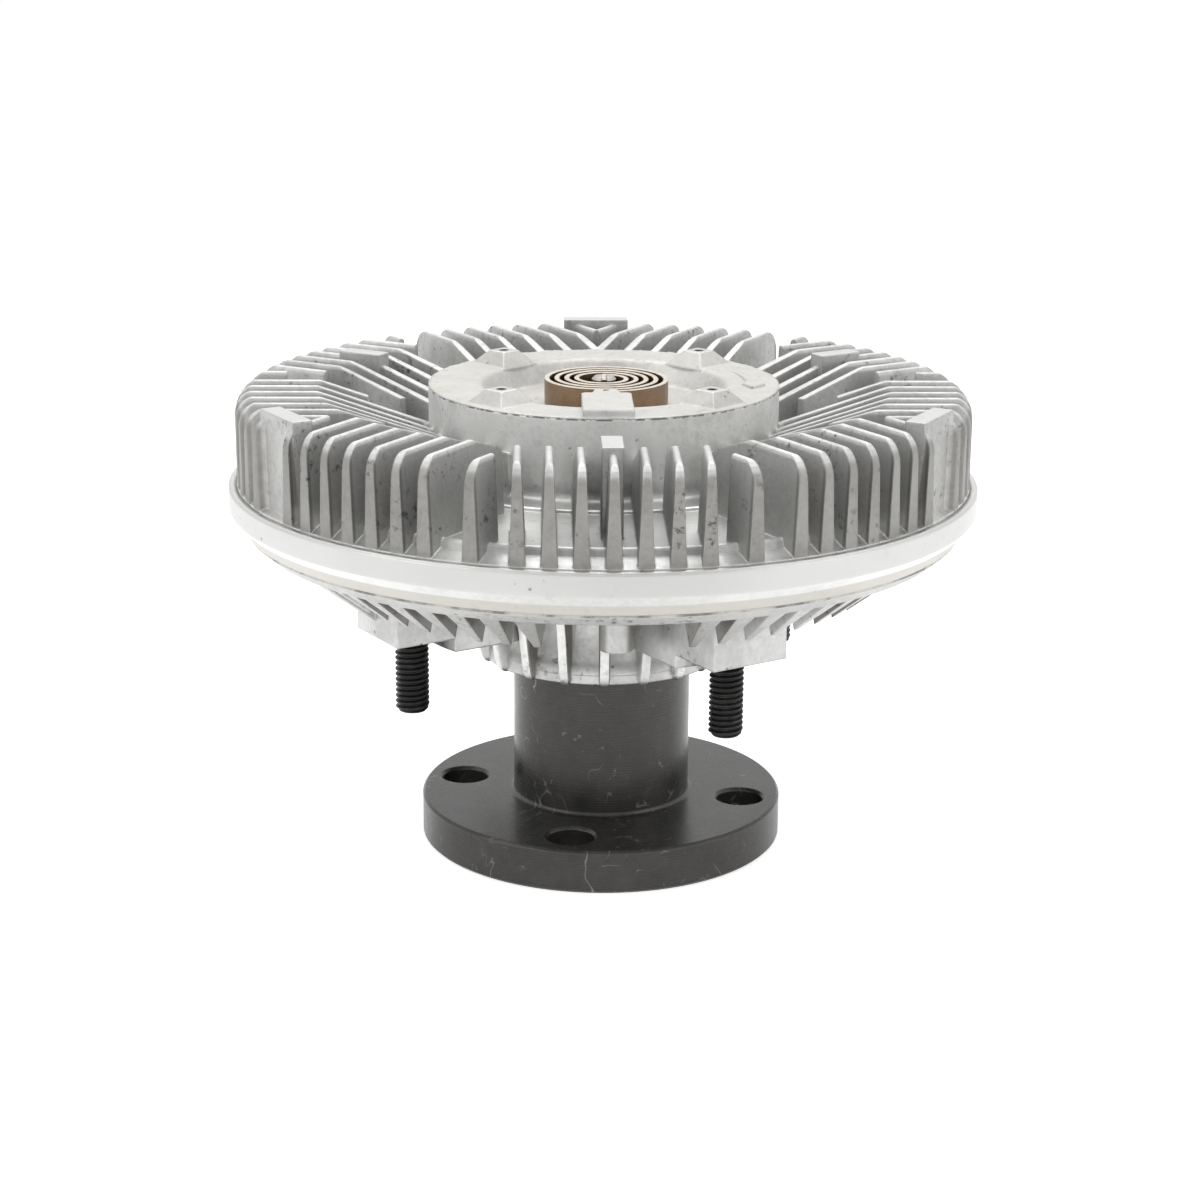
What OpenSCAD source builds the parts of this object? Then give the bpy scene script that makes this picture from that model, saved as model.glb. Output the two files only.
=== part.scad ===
// Viscous fan clutch: a flanged drive shaft carries a slotted rotor inside a finned, oil-tight housing
// that turns on a double-row bearing; a bimetal coil on the front opens the fluid valve.
// The origin is the centre of the flange's mounting face, +Z runs along the shaft towards the coil.

/* [Flange and shaft] */
// Diameter of the mounting flange
flange_d = 106.6; // [102:0.2:110]
// Thickness of the mounting flange
flange_t = 12.7; // [10:0.1:16]
// Chamfer on the rim of the flange
flange_edge = 0.7; // [0.3:0.1:1.5]
// Distance of the flange bolts' centres from the flange's rim
flange_bolt_inset = 11.3; // [9.5:0.1:14]
// Number of flange bolts
flange_holes = 4; // [3:1:6]
// Diameter of a flange bolt hole
flange_hole_d = 13.5; // [10:0.1:14]
// Chamfer on the mouth of a flange bolt hole
flange_hole_edge = 0.8; // [0.3:0.1:1.2]
// Angle of the first flange bolt
flange_turn = -11.6; // [-45:0.1:45]
// Diameter of the pilot bore in the mounting face
nose_bore_d = 15.9; // [12:0.1:20]
// Depth of the pilot bore
nose_bore_depth = 16; // [8:0.5:24]
// Diameter of the neck between flange and housing
neck_d = 52; // [46:0.5:54]
// Fillet between flange and neck
neck_fillet = 1.2; // [0.5:0.1:3]
// Clear distance from the flange to the housing's hub
stand_off = 42.9; // [36:0.1:56]
// Gap between the neck's end and the housing's hub
neck_gap = 0.8; // [0.5:0.1:2]

/* [Bearing] */
// Bore of the bearing
bearing_bore = 30; // [28:0.5:32]
// Outer diameter of the bearing
bearing_d = 55; // [54:0.5:57]
// Width of the bearing
bearing_w = 23.8; // [22:0.1:26]
// Diameter of a ball
ball_d = 7.94; // [7:0.02:8.2]
// Balls in each of the two rows
ball_count = 13; // [10:1:14]
// Distance between the two rows of balls
row_pitch = 10; // [9.4:0.1:10.6]
// Free play between a ball and its track
ball_play = 0.3; // [0.1:0.05:0.35]
// Wall of the ball cage
cage_t = 1.6; // [1.2:0.1:2]
// Thickness of a bearing seal
seal_t = 0.8; // [0.6:0.05:1]
// Thickness of the ring that keeps the bearing in the hub
clip_t = 2; // [1.5:0.05:2.2]
// Depth of the ring's groove in the hub
clip_groove = 1.5; // [1:0.1:1.8]
// Reach of the ring inside the hub's bore
clip_reach = 3; // [2:0.1:4]

/* [Housing rim] */
// Outer diameter of the housing's rim
rim_d = 215; // [213:0.5:219]
// Height of the turned band on the rim
band_h = 6.24; // [5:0.02:8]
// Wall of the rim around the cover
rim_wall = 1.45; // [1.2:0.05:2]
// Thickness of the lip that is rolled over the cover
lip_t = 1.05; // [0.8:0.05:1.4]
// Reach of the rolled lip over the cover
lip_reach = 0.7; // [0.4:0.05:1]
// Distance of the body's lower edge inside its rim
heel_step = 8; // [6:0.1:10]
// Height of the body's lower edge above its web
heel_h = 0.6; // [0.2:0.1:1.5]
// Thickness of the body's web
web_t = 3.6; // [3:0.1:5]

/* [Hub and ribs] */
// Diameter of the ring at the hub's end
hub_d = 70.4; // [69:0.2:72]
// Height of the ring at the hub's end
hub_ring_h = 4.6; // [3.5:0.1:7]
// Wall of the hub round the bearing
hub_wall = 2.8; // [2.4:0.1:4]
// Depth from the hub's end to the ring groove
hub_lip = 1.85; // [1.2:0.05:3]
// Height of the shoulder between the bearing and the working chamber
hub_shoulder = 12.7; // [11:0.1:16]
// Fillet between the hub and the web
hub_fillet = 9; // [6:0.5:14]
// Number of ribs on the hub
hub_ribs = 20; // [12:1:28]
// Thickness of a hub rib
hub_rib_t = 2.2; // [1.5:0.1:3.5]
// Reach of a hub rib at the hub's end
hub_rib_reach = 1.3; // [0.8:0.1:3]
// Reach of a hub rib where it starts to flare
hub_rib_flare = 5; // [3:0.1:7]
// Reach of a hub rib at the web
hub_rib_top = 15; // [8:0.5:18]
// Angle of the first hub rib
hub_rib_turn = 1.2; // [-9:0.1:9]
// Number of tapered ribs under the web
web_ribs = 60; // [36:1:72]
// Width of a web rib at its root
web_rib_w = 6.2; // [4:0.1:7]
// Width of a web rib at its deepest point
web_rib_tip = 1.8; // [1:0.1:3]
// Distance of a web rib's inner end from the axis
web_rib_r = 79; // [74:0.5:84]
// Slope of the web ribs and of the gussets, in degrees
rib_slope = 38; // [34:0.5:42]
// Angle beside each round stub that has no web ribs
web_rib_gap = 24.4; // [0:0.2:28]
// Diameter of the round stubs under the web
stub_d = 9.4; // [7:0.1:11]
// Distance of a stub from the axis
stub_r = 48.5; // [46:0.1:52]
// Turn from a lug to the next stub, in degrees
stub_turn = 62; // [56:0.5:64]

/* [Fan lugs] */
// Pitch circle of the fan studs
stud_pcd = 127; // [124:0.5:130]
// Number of fan studs
stud_count = 4; // [3:1:5]
// Angle of the first fan stud
stud_turn = 32.65; // [0:0.05:90]
// Diameter of a fan stud
stud_d = 9.525; // [8:0.005:10]
// Length of a fan stud beyond its lug
stud_out = 22.8; // [16:0.1:30]
// Length of a fan stud inside its lug
stud_in = 15; // [12:0.5:18]
// Step from a fan stud's thread down to its fixed end
stud_step = 0.4; // [0.2:0.05:0.8]
// Width of the chamfer round a stud's thread
stud_mouth = 0.4; // [0.2:0.05:1]
// Width of a lug
lug_w = 24; // [20:0.5:28]
// Distance of a lug's end face from the axis
lug_reach = 74.3; // [72:0.1:78]
// Number of lugs that have a gusset
gussets = 2; // [1:1:4]
// Width of a gusset
gusset_w = 11; // [6:0.5:16]
// Height of a lug's end face below its gusset
lug_end_h = 5.5; // [4:0.1:8]
// Height from a lug's face to the cover's seat
lug_drop = 33.2; // [30:0.1:38]
// Diameter that centres the fan
fan_pilot_d = 114.8; // [112:0.1:117]
// Height of the step that centres the fan
fan_pilot_h = 3.8; // [2.5:0.1:6]

/* [Working chamber] */
// Distance of the chamber's wall inside the rim
chamber_wall = 13.5; // [12.5:0.1:16]
// Gap round the rotor's rim
rotor_gap = 1.5; // [1:0.1:2]
// Thickness of the rotor's web
rotor_web = 2.4; // [2:0.1:4]
// Number of fluid holes in the rotor
rotor_holes = 6; // [4:1:8]
// Diameter of a fluid hole in the rotor
rotor_hole_d = 8; // [5:0.5:10]
// Diameter of the rotor's hub
rotor_hub_d = 44; // [40:0.5:48]
// Height of the rings on the rotor, the cover and the body
land_h = 3.2; // [2:0.1:4]
// Width of a ring
land_w = 2.2; // [1.6:0.1:2.6]
// Sideways gap between a rotor ring and a housing ring
land_gap = 0.6; // [0.4:0.05:1]
// Gap above and below the rings
face_gap = 0.8; // [0.5:0.05:1]
// Number of rings on each side of the rotor
land_count = 6; // [3:1:6]
// Diameter of the head on the shaft's end
shaft_head_d = 31; // [30:0.2:34]

/* [Cover] */
// Turn of the cover on the body, in degrees
cover_turn = 1.6; // [-10:0.1:10]
// Thickness of the cover's floor
floor_t = 6.3; // [5.5:0.1:8]
// Thickness of the cover's clamped edge
cover_edge_t = 3.6; // [3:0.1:4.5]
// Depth of the clamped edge below the cover's inner face
cover_edge_drop = 2.4; // [1.5:0.1:3]
// Width of the sloping ledge outside the floor's shoulder
ledge_w = 5.4; // [4:0.1:7]
// Rise of the ledge from the rim to the shoulder
ledge_rise = 2; // [1:0.1:2.4]
// Radius of the bead on the shoulder
bead_r = 1.2; // [0.8:0.1:1.6]
// Section of the seal under the cover's edge
cover_seal_d = 1.8; // [1.2:0.1:2.2]
// Diameter of the drum that holds the coil
drum_d = 100.46; // [96:0.02:104]
// Height of the drum above the floor
drum_h = 23.2; // [20:0.1:27]
// Wall of the drum
drum_wall = 5.2; // [4:0.1:6]
// Fillet at the foot of the drum
drum_fillet = 2.6; // [1:0.1:4]
// Diameter of the dish in the drum's top
dish_d = 70; // [64:0.5:74]
// Depth of the dish
dish_depth = 6.3; // [5:0.1:8]
// Width of the dish's sloping wall
dish_slope = 4; // [2:0.1:5]
// Radius of the dish's upper edge
dish_round = 3; // [1:0.1:3.5]
// Radius of the dish's lower edge
dish_foot = 2; // [1:0.1:3]
// Thickness of the drum's roof
roof_t = 4.5; // [3.5:0.1:6]
// Fillet under the drum's roof
tank_fillet = 4; // [2:0.1:5]
// Number of bosses on the drum
boss_count = 4; // [3:1:4]
// Angle of the first boss
boss_turn = 45; // [40:1:50]
// Distance of a boss from the axis
boss_r = 41; // [39:0.1:42]
// Width of a boss at its foot
boss_foot = 14; // [10:0.1:14.5]
// Width of a boss at its top
boss_top = 6; // [5.5:0.1:9]
// Height of a boss above the drum
boss_h = 3.75; // [2:0.05:5]
// Diameter of the hole in a boss
boss_hole_d = 3; // [2:0.1:4]
// Depth of the hole in a boss
boss_hole_l = 5; // [3:0.1:6]

/* [Cooling fins] */
// Outer diameter of the ring of fins
fin_ring_d = 210; // [207:0.5:213]
// Height of the fins above the floor
fin_h = 22.6; // [18:0.1:26]
// Thickness of a fin at its tip
fin_tip = 2.1; // [1.6:0.05:3]
// Thickness of a fin at its foot
fin_foot = 4.2; // [3.2:0.05:5]
// Radius of the fins' outer upper corner
fin_corner = 7; // [2:0.1:9]
// Distance from the axis at which the fins start to slope down to the drum
fin_knee_r = 82; // [74:0.5:90]
// Slope of the fins' inner part, in degrees
fin_slope = 18.8; // [12:0.2:22]
// Distance between neighbouring fins
fin_pitch = 8.1; // [7.4:0.05:8.6]
// Fins in each group
fin_count = 7; // [5:2:7]
// Place of the first fin in a side group
fin_first = 5; // [3:0.1:7]
// Distance of the inner end of that fin from the axis
fin_first_r = 68; // [62:0.5:74]
// Place of the short fin beside a side group
fin_short_place = 17.8; // [16:0.1:19]
// Length of a short fin
fin_short_l = 11; // [8:0.5:16]
// Height of the clamping pads above the fins
pad_h = 1.5; // [0.8:0.1:3]
// Width of a narrow pad
pad_narrow_w = 5.6; // [5:0.1:7]
// Length of a narrow pad
pad_narrow_l = 14; // [10:0.5:18]
// Distance of a narrow pad's outer face from the axis
pad_narrow_r = 89.3; // [86:0.1:94]
// Width of a wide pad
pad_wide_w = 20.6; // [16:0.2:22]
// Thickness of a wide pad
pad_wide_t = 5.8; // [4:0.1:8]
// Distance of a wide pad's outer face inside the cover's visible edge
pad_wide_setback = 2.75; // [2:0.05:6]

/* [Coil and valve] */
// Outer diameter of the bimetal coil
coil_d = 38.3; // [36:0.1:39]
// Width of the coil's strip
coil_w = 6.95; // [5:0.05:8]
// Thickness of the coil's strip
coil_t = 1.4; // [1:0.05:1.6]
// Room between the valve shaft and the coil's innermost turn
coil_room = 1.45; // [1.2:0.05:1.8]
// Half turns of the coil
coil_halves = 9; // [5:2:9]
// Gap under the coil
coil_gap = 0.45; // [0.3:0.05:1]
// Length of the coil's tang in its post
tang_l = 3.4; // [2.5:0.1:4]
// Width of the post that anchors the coil
post_w = 13.8; // [10:0.1:16]
// Distance of the post's outer face from the axis
post_r = 49.3; // [46:0.1:49.6]
// Distance of the post's inner face from the axis
post_in_r = 25.5; // [24.5:0.1:28]
// Gap between the post's nose and the coil
post_gap = 0.6; // [0.4:0.1:1]
// Height of the post above the drum
post_h = 2.1; // [1.2:0.1:4]
// Diameter of the valve shaft
valve_d = 7; // [6:0.1:7.4]
// Wall of the valve shaft's bush
bush_wall = 2; // [1.5:0.1:3]
// Depth of the bush below the drum's roof
bush_drop = 6; // [5:0.1:8]
// Thickness of the valve arm
arm_t = 1.2; // [0.8:0.1:2]
// Width of the valve arm
arm_w = 9; // [7:0.1:11]
// Wall of the valve arm's collar
arm_collar = 3; // [2:0.1:4]
// Height of the valve arm's collar above the arm
arm_collar_h = 1.6; // [1:0.1:2]
// Distance of the fluid port from the axis
port_r = 30; // [26:0.5:31]
// Diameter of a fluid port
port_d = 5.5; // [4:0.1:6.5]
// Thickness of the partition plate
plate_t = 1.6; // [1.2:0.1:2]
// Diameter of a plate screw
screw_d = 4; // [3:0.1:4.4]
// Length of a plate screw in the cover
screw_grip = 7; // [5:0.1:8]
// Depth of a screw hole beyond the screw
screw_spare = 1; // [0.5:0.1:2]
// Wall of the column round a plate screw
screw_wall = 2.3; // [1.8:0.1:3]
// Height of a plate screw's head
screw_head_h = 1.8; // [1.2:0.1:2.2]
// Width of the wiper block
wiper_w = 12; // [8:0.5:16]
// Length of the wiper block
wiper_l = 7; // [6:0.1:8]
// Diameter of the duct from the working chamber back to the tank
duct_d = 2.6; // [2:0.1:3]

/* [Fits] */
// Radial clearance of a running fit
run_fit = 0.05; // [0.02:0.01:0.1]
// Radial clearance of a fixed fit
seat_fit = 0.02; // [0.01:0.005:0.04]

/* [Hidden] */
$fn = 96;

alloy = [0.78, 0.78, 0.76];
dark_steel = [0.25, 0.25, 0.25];
bright_steel = [0.68, 0.69, 0.71];
black_rubber = [0.09, 0.09, 0.09];
bronze = [0.55, 0.42, 0.28];

// Heights along the shaft, from the mounting face upwards
hub_z = flange_t + stand_off;
clip_z = hub_z + hub_lip;
bearing_z = clip_z + clip_t + seat_fit;
bearing_top = bearing_z + bearing_w;
chamber_z = bearing_top + hub_shoulder;
rotor_z = chamber_z + face_gap;
rotor_web_z = rotor_z + land_h;
rotor_web_top = rotor_web_z + rotor_web;
rotor_top = rotor_web_top + land_h;
cover_z = rotor_top + face_gap;
seat_z = cover_z - cover_edge_drop;
lip_z = seat_z + cover_edge_t;
rim_top = lip_z + lip_t;
band_z = rim_top - band_h;
web_z = chamber_z - web_t;
heel_z = web_z + heel_h;
ledge_z = rim_top + 0.45;
floor_z = cover_z + floor_t;
drum_top = floor_z + drum_h;
dish_z = drum_top - dish_depth;
roof_z = dish_z - roof_t;
fin_top = floor_z + fin_h;
pad_top = fin_top + pad_h;
coil_z = dish_z + coil_gap;
coil_top = coil_z + coil_w;
post_top = drum_top + post_h;
plate_top = cover_z + plate_t;
duct_z = (plate_top + floor_z) / 2;
bush_z = roof_z - bush_drop;
lug_z = seat_z - lug_drop;
pilot_z = lug_z - fan_pilot_h;

// Radii
flange_r = flange_d / 2;
flange_bolt_r = flange_r - flange_bolt_inset;
rim_r = rim_d / 2;
heel_r = rim_r - heel_step;
edge_r = rim_r - rim_wall;
lip_r = edge_r - lip_reach;
cover_top_r = lip_r - 0.2;
shoulder_r = cover_top_r - ledge_w;
pad_wide_r = cover_top_r - pad_wide_setback;
chamber_r = rim_r - chamber_wall;
rotor_r = chamber_r - rotor_gap;
land_pitch = 2 * (land_w + land_gap);
land_r = rotor_r - 2 - (land_count - 1) * land_pitch - land_w;
drum_r = drum_d / 2;
tank_r = drum_r - drum_wall;
plate_r = tank_r + 2;
bearing_r = bearing_d / 2;
ball_r = ball_d / 2;
pitch_r = (bearing_bore + bearing_d) / 4;
inner_land_r = pitch_r - cage_t / 2 - 1.6;
outer_land_r = pitch_r + cage_t / 2 + 1.6;
hub_r = hub_d / 2;
core_r = bearing_r + hub_wall;
bush_r = valve_d / 2 + bush_wall;
seal_groove_r = edge_r - 1.5 - cover_seal_d / 2;
coil_pitch = floor(100 * (coil_d / 2 - coil_t - valve_d / 2 - coil_room) / coil_halves) / 50;
stud_end_r = stud_d / 2 - stud_step;

// Points of an arc, from angle a to angle b
function arc(x, y, r, a, b, n = 6) = [for (i = [0 : n]) [x + r * cos(a + (b - a) * i / n),
                                                          y + r * sin(a + (b - a) * i / n)]];

// Outline of a row of rings that stand on height a and end at height b, from the axis outwards
function lands(r, n, a, b) = [for (i = [0 : n - 1]) let (x = r + i * land_pitch)
    each [[x, a], [x, b], [x + land_w, b], [x + land_w, a]]];

function flip(v) = [for (i = [len(v) - 1 : -1 : 0]) v[i]];

module turned(points) {
    rotate_extrude() polygon(points);
}

module around(n, first = 0) {
    for (i = [0 : n - 1]) rotate([0, 0, first + i * 360 / n]) children();
}

// A prism that runs outwards along X from distance a to distance b, with its outline in Y and Z
module beam(a, b, points) {
    translate([a, 0, 0]) rotate([90, 0, 90]) linear_extrude(b - a) polygon(points);
}

// A plate in the X and Z plane, centred on Y
module radial_plate(t, points) {
    translate([0, t / 2, 0]) rotate([90, 0, 0]) linear_extrude(t) polygon(points);
}

module flange_shaft() {
    seat_r = bearing_bore / 2;
    neck_r = neck_d / 2;
    neck_top = hub_z - neck_gap;
    rotor_seat_r = seat_r - 1;
    head_z = rotor_web_top - 1.2;
    mouth_d = flange_hole_d + 2 * flange_hole_edge + 0.2;
    mouth_h = flange_hole_edge + 0.1;
    color(dark_steel)
    difference() {
        turned(concat(
            [[0, 0], [flange_r - flange_edge, 0], [flange_r, flange_edge],
             [flange_r, flange_t - flange_edge], [flange_r - flange_edge, flange_t]],
            arc(neck_r + neck_fillet, flange_t + neck_fillet, neck_fillet, 270, 180),
            [[neck_r, neck_top - 1], [neck_r - 1, neck_top], [inner_land_r - 0.6, neck_top],
             [inner_land_r - 0.6, bearing_z], [seat_r - seat_fit, bearing_z],
             [seat_r - seat_fit, bearing_top], [rotor_seat_r - seat_fit, bearing_top],
             [rotor_seat_r - seat_fit, head_z],
             [shaft_head_d / 2, head_z + 1.6], [shaft_head_d / 2 - 0.6, head_z + 2.4], [0, head_z + 2.4]]));
        around(flange_holes, flange_turn) translate([flange_bolt_r, 0, 0]) {
            translate([0, 0, -1]) cylinder(d = flange_hole_d, h = flange_t + 2);
            translate([0, 0, flange_t - flange_hole_edge])
                cylinder(d1 = flange_hole_d, d2 = mouth_d, h = mouth_h);
            translate([0, 0, -0.1]) cylinder(d1 = mouth_d, d2 = flange_hole_d, h = mouth_h);
        }
        translate([0, 0, -1]) cylinder(d = nose_bore_d, h = nose_bore_depth + 1);
        translate([0, 0, -0.1]) cylinder(d1 = nose_bore_d + 2.2, d2 = nose_bore_d, h = 1.1);
    }
}

module rotor() {
    seat_r = bearing_bore / 2 - 1;
    hub_top = rotor_web_top + 0.6;
    head_z = rotor_web_top - 1.2;
    color(alloy)
    difference() {
        turned(concat(
            [[seat_r, bearing_top], [rotor_hub_d / 2 - 4, bearing_top], [rotor_hub_d / 2, rotor_web_z - 6],
             [rotor_hub_d / 2, rotor_web_z]],
            lands(land_r, land_count, rotor_web_z, rotor_z),
            [[rotor_r, rotor_web_z], [rotor_r, rotor_web_top]],
            flip(lands(land_r, land_count, rotor_web_top, rotor_top)),
            [[rotor_hub_d / 2, rotor_web_top], [rotor_hub_d / 2, hub_top], [shaft_head_d / 2 + 1, hub_top],
             [shaft_head_d / 2 + seat_fit, head_z + 1.6], [seat_r, head_z - seat_fit]]));
        around(rotor_holes) translate([(land_r + rotor_hub_d / 2) / 2, 0, rotor_web_z - 1])
            cylinder(d = rotor_hole_d, h = rotor_web + 2);
    }
}

module ball_track() {
    for (side = [-1, 1]) translate([0, 0, bearing_z + bearing_w / 2 + side * row_pitch / 2])
        rotate_extrude() translate([pitch_r, 0]) circle(r = ball_r + ball_play);
}

module bearing_inner_ring() {
    color(bright_steel)
    difference() {
        translate([0, 0, bearing_z]) cylinder(r = inner_land_r, h = bearing_w);
        translate([0, 0, bearing_z - 1]) cylinder(d = bearing_bore, h = bearing_w + 2);
        ball_track();
    }
}

module bearing_outer_ring() {
    color(bright_steel)
    difference() {
        translate([0, 0, bearing_z]) cylinder(r = bearing_r, h = bearing_w);
        translate([0, 0, bearing_z - 1]) cylinder(r = outer_land_r, h = bearing_w + 2);
        for (z = [bearing_z - 1, bearing_top - seal_t - 0.3])
            translate([0, 0, z]) cylinder(r = outer_land_r + 0.8, h = seal_t + 1.3);
        ball_track();
    }
}

// Places something at each ball of both rows, half a step apart
module at_balls() {
    for (side = [-1, 1]) translate([0, 0, bearing_z + bearing_w / 2 + side * row_pitch / 2])
        around(ball_count, side * 90 / ball_count) translate([pitch_r, 0, 0]) children();
}

module bearing_balls() {
    color(bright_steel) at_balls() sphere(r = ball_r);
}

module bearing_cage() {
    cage_h = bearing_w - 2 * (seal_t + 0.9);
    color(bronze)
    difference() {
        translate([0, 0, bearing_z + (bearing_w - cage_h) / 2])
            cylinder(r = pitch_r + cage_t / 2, h = cage_h);
        translate([0, 0, bearing_z]) cylinder(r = pitch_r - cage_t / 2, h = bearing_w);
        at_balls() rotate([0, 90, 0]) cylinder(r = ball_r + 2 * seat_fit, h = 4 * cage_t, center = true);
    }
}

module bearing_seal(z) {
    color(black_rubber)
    translate([0, 0, z]) difference() {
        cylinder(r = outer_land_r + 0.8 - seat_fit, h = seal_t);
        translate([0, 0, -1]) cylinder(r = inner_land_r + 0.3, h = seal_t + 2);
    }
}

module bearing_seal_rear() {
    bearing_seal(bearing_z + 0.3);
}

module bearing_seal_front() {
    bearing_seal(bearing_top - 0.3 - seal_t);
}

module bearing_retaining_ring() {
    groove_r = bearing_r + clip_groove;
    color(dark_steel)
    translate([0, 0, clip_z]) difference() {
        cylinder(r = groove_r - seat_fit, h = clip_t);
        translate([0, -0.5, -1]) cylinder(r = bearing_r - clip_reach, h = clip_t + 2);
        translate([0, groove_r, clip_t / 2]) cube([9, 20, clip_t + 2], center = true);
    }
}

// The slope that the web ribs and the gussets share: height at a distance x from the axis
function slope_z(x) = lug_z + lug_end_h + (x - lug_reach) * tan(rib_slope);

// Where that slope runs into the web, or the body's lower edge if that comes first
function rib_end_r() = min(heel_r - 1, lug_reach + (web_z + 1 - lug_z - lug_end_h) / tan(rib_slope));

module body_shell() {
    throat_r = rotor_hub_d / 2 + 3;
    ring_z = hub_z + hub_ring_h;
    turned(concat(
        [[bearing_r + seat_fit, hub_z + 0.8], [bearing_r + seat_fit + 0.8, hub_z], [hub_r - 0.5, hub_z],
         [hub_r, hub_z + 0.5], [hub_r, ring_z], [core_r, ring_z + hub_r - core_r]],
        arc(core_r + hub_fillet, web_z - hub_fillet, hub_fillet, 180, 90),
        [[heel_r - 4, web_z], [heel_r, heel_z], [heel_r + 3.2, heel_z + 2.8], [heel_r + 3.1, heel_z + 3.4],
         [heel_r + 3.6, heel_z + 3.6], [rim_r - 2.4, band_z - 2.7], [rim_r, band_z], [rim_r, rim_top - 0.4],
         [rim_r - 0.4, rim_top], [lip_r, rim_top], [lip_r, lip_z], [edge_r, lip_z], [edge_r, seat_z],
         [seal_groove_r + cover_seal_d / 2 + seat_fit, seat_z],
         [seal_groove_r + cover_seal_d / 2 + seat_fit, seat_z - cover_seal_d],
         [seal_groove_r - cover_seal_d / 2 - seat_fit, seat_z - cover_seal_d],
         [seal_groove_r - cover_seal_d / 2 - seat_fit, seat_z],
         [chamber_r, seat_z], [chamber_r, chamber_z]],
        flip(lands(land_r + land_w + land_gap, land_count - 1, chamber_z, chamber_z + land_h)),
        [[throat_r + 6, chamber_z], [throat_r, chamber_z - 6], [throat_r, bearing_top],
         [bearing_r + seat_fit, bearing_top], [bearing_r + seat_fit, clip_z + clip_t + seat_fit],
         [bearing_r + clip_groove, clip_z + clip_t + seat_fit],
         [bearing_r + clip_groove, clip_z - seat_fit], [bearing_r + seat_fit, clip_z - seat_fit]]));
}

// Angle from a lug, on to the next lug
function past_lug(a) = a - floor(a * stud_count / 360) * 360 / stud_count;

// Whether the web has a rib at an angle from the first lug
function has_rib(a) = abs(past_lug(a) - stub_turn + web_rib_gap * 0.16) > web_rib_gap / 2;

module web_rib_set() {
    root_z = web_z + 1;
    tip_z = slope_z(web_rib_r) - 0.5;
    end_r = rib_end_r();
    intersection() {
        union() {
            for (i = [0 : web_ribs - 1]) let (a = (i + 0.5) * 360 / web_ribs)
                if (has_rib(a)) rotate([0, 0, stud_turn + a])
                    beam(web_rib_r - 2, heel_r - 0.5,
                         [[-web_rib_w / 2, root_z], [-web_rib_tip / 2, tip_z],
                          [web_rib_tip / 2, tip_z], [web_rib_w / 2, root_z]]);
        }
        turned([[web_rib_r, slope_z(web_rib_r)], [end_r, slope_z(end_r)],
                [end_r, root_z + 1], [web_rib_r - 1, root_z + 1]]);
    }
}

module hub_rib_set() {
    around(hub_ribs, hub_rib_turn)
        radial_plate(hub_rib_t, [[hub_r - 1.5, hub_z + 0.4], [hub_r + hub_rib_reach * 0.5, hub_z + 0.4],
                                 [hub_r + hub_rib_reach, hub_z + 1.6],
                                 [hub_r + (hub_rib_reach + hub_rib_flare) / 2, web_z - 20],
                                 [hub_r + hub_rib_flare, web_z - 14], [hub_r + hub_rib_top, web_z + 1],
                                 [core_r - 0.5, web_z + 1],
                                 [core_r - 0.5, hub_z + hub_ring_h + hub_r - core_r],
                                 [hub_r - 1.5, hub_z + hub_ring_h]]);
}

// A block that carries one stud, with the step that centres the fan
module fan_lug() {
    difference() {
        union() {
            translate([0, -lug_w / 2, lug_z]) cube([lug_reach, lug_w, web_z - lug_z + 1]);
            intersection() {
                translate([0, 0, pilot_z]) cylinder(d = fan_pilot_d, h = fan_pilot_h + 1);
                translate([0, -lug_w / 2, pilot_z - 1]) cube([fan_pilot_d, lug_w, fan_pilot_h + 3]);
            }
        }
        translate([0, 0, pilot_z - 2]) cylinder(r = core_r - 0.5, h = web_z - pilot_z + 4);
    }
}

// A sloping brace from a lug's end face to the web, along one side of the lug
module gusset() {
    end_r = rib_end_r() - 2;
    translate([0, (gusset_w - lug_w) / 2, 0])
        radial_plate(gusset_w, [[lug_reach - 3, lug_z + 1], [lug_reach, lug_z + 1],
                                [lug_reach, lug_z + lug_end_h - 0.6], [end_r, slope_z(end_r) - 0.6],
                                [end_r, web_z + 1], [lug_reach - 3, web_z + 1]]);
}

module rear_body() {
    mouth_r = stud_d / 2 + stud_mouth;
    color(alloy)
    difference() {
        union() {
            body_shell();
            web_rib_set();
            hub_rib_set();
            around(stud_count, stud_turn) fan_lug();
            around(gussets, stud_turn) gusset();
            around(stud_count, stud_turn + stub_turn) translate([stub_r, 0, lug_z])
                cylinder(d = stub_d, h = web_z - lug_z + 1);
        }
        around(stud_count, stud_turn) translate([stud_pcd / 2, 0, lug_z - 1])
            cylinder(r = stud_end_r + seat_fit, h = stud_in + 1);
        around(stud_count, stud_turn) translate([stud_pcd / 2, 0, lug_z - 0.1])
            cylinder(r1 = mouth_r + 0.1, r2 = stud_end_r - 0.1, h = mouth_r - stud_end_r + 0.2);
    }
}

module fan_studs() {
    color([0.12, 0.12, 0.12])
    around(stud_count, stud_turn) translate([stud_pcd / 2, 0, 0])
        turned([[0, lug_z - stud_out], [stud_d / 2 - 1, lug_z - stud_out],
                [stud_d / 2, lug_z - stud_out + 1], [stud_d / 2, lug_z], [stud_end_r, lug_z],
                [stud_end_r, lug_z + stud_in - 0.5], [0, lug_z + stud_in - 0.5]]);
}

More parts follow.
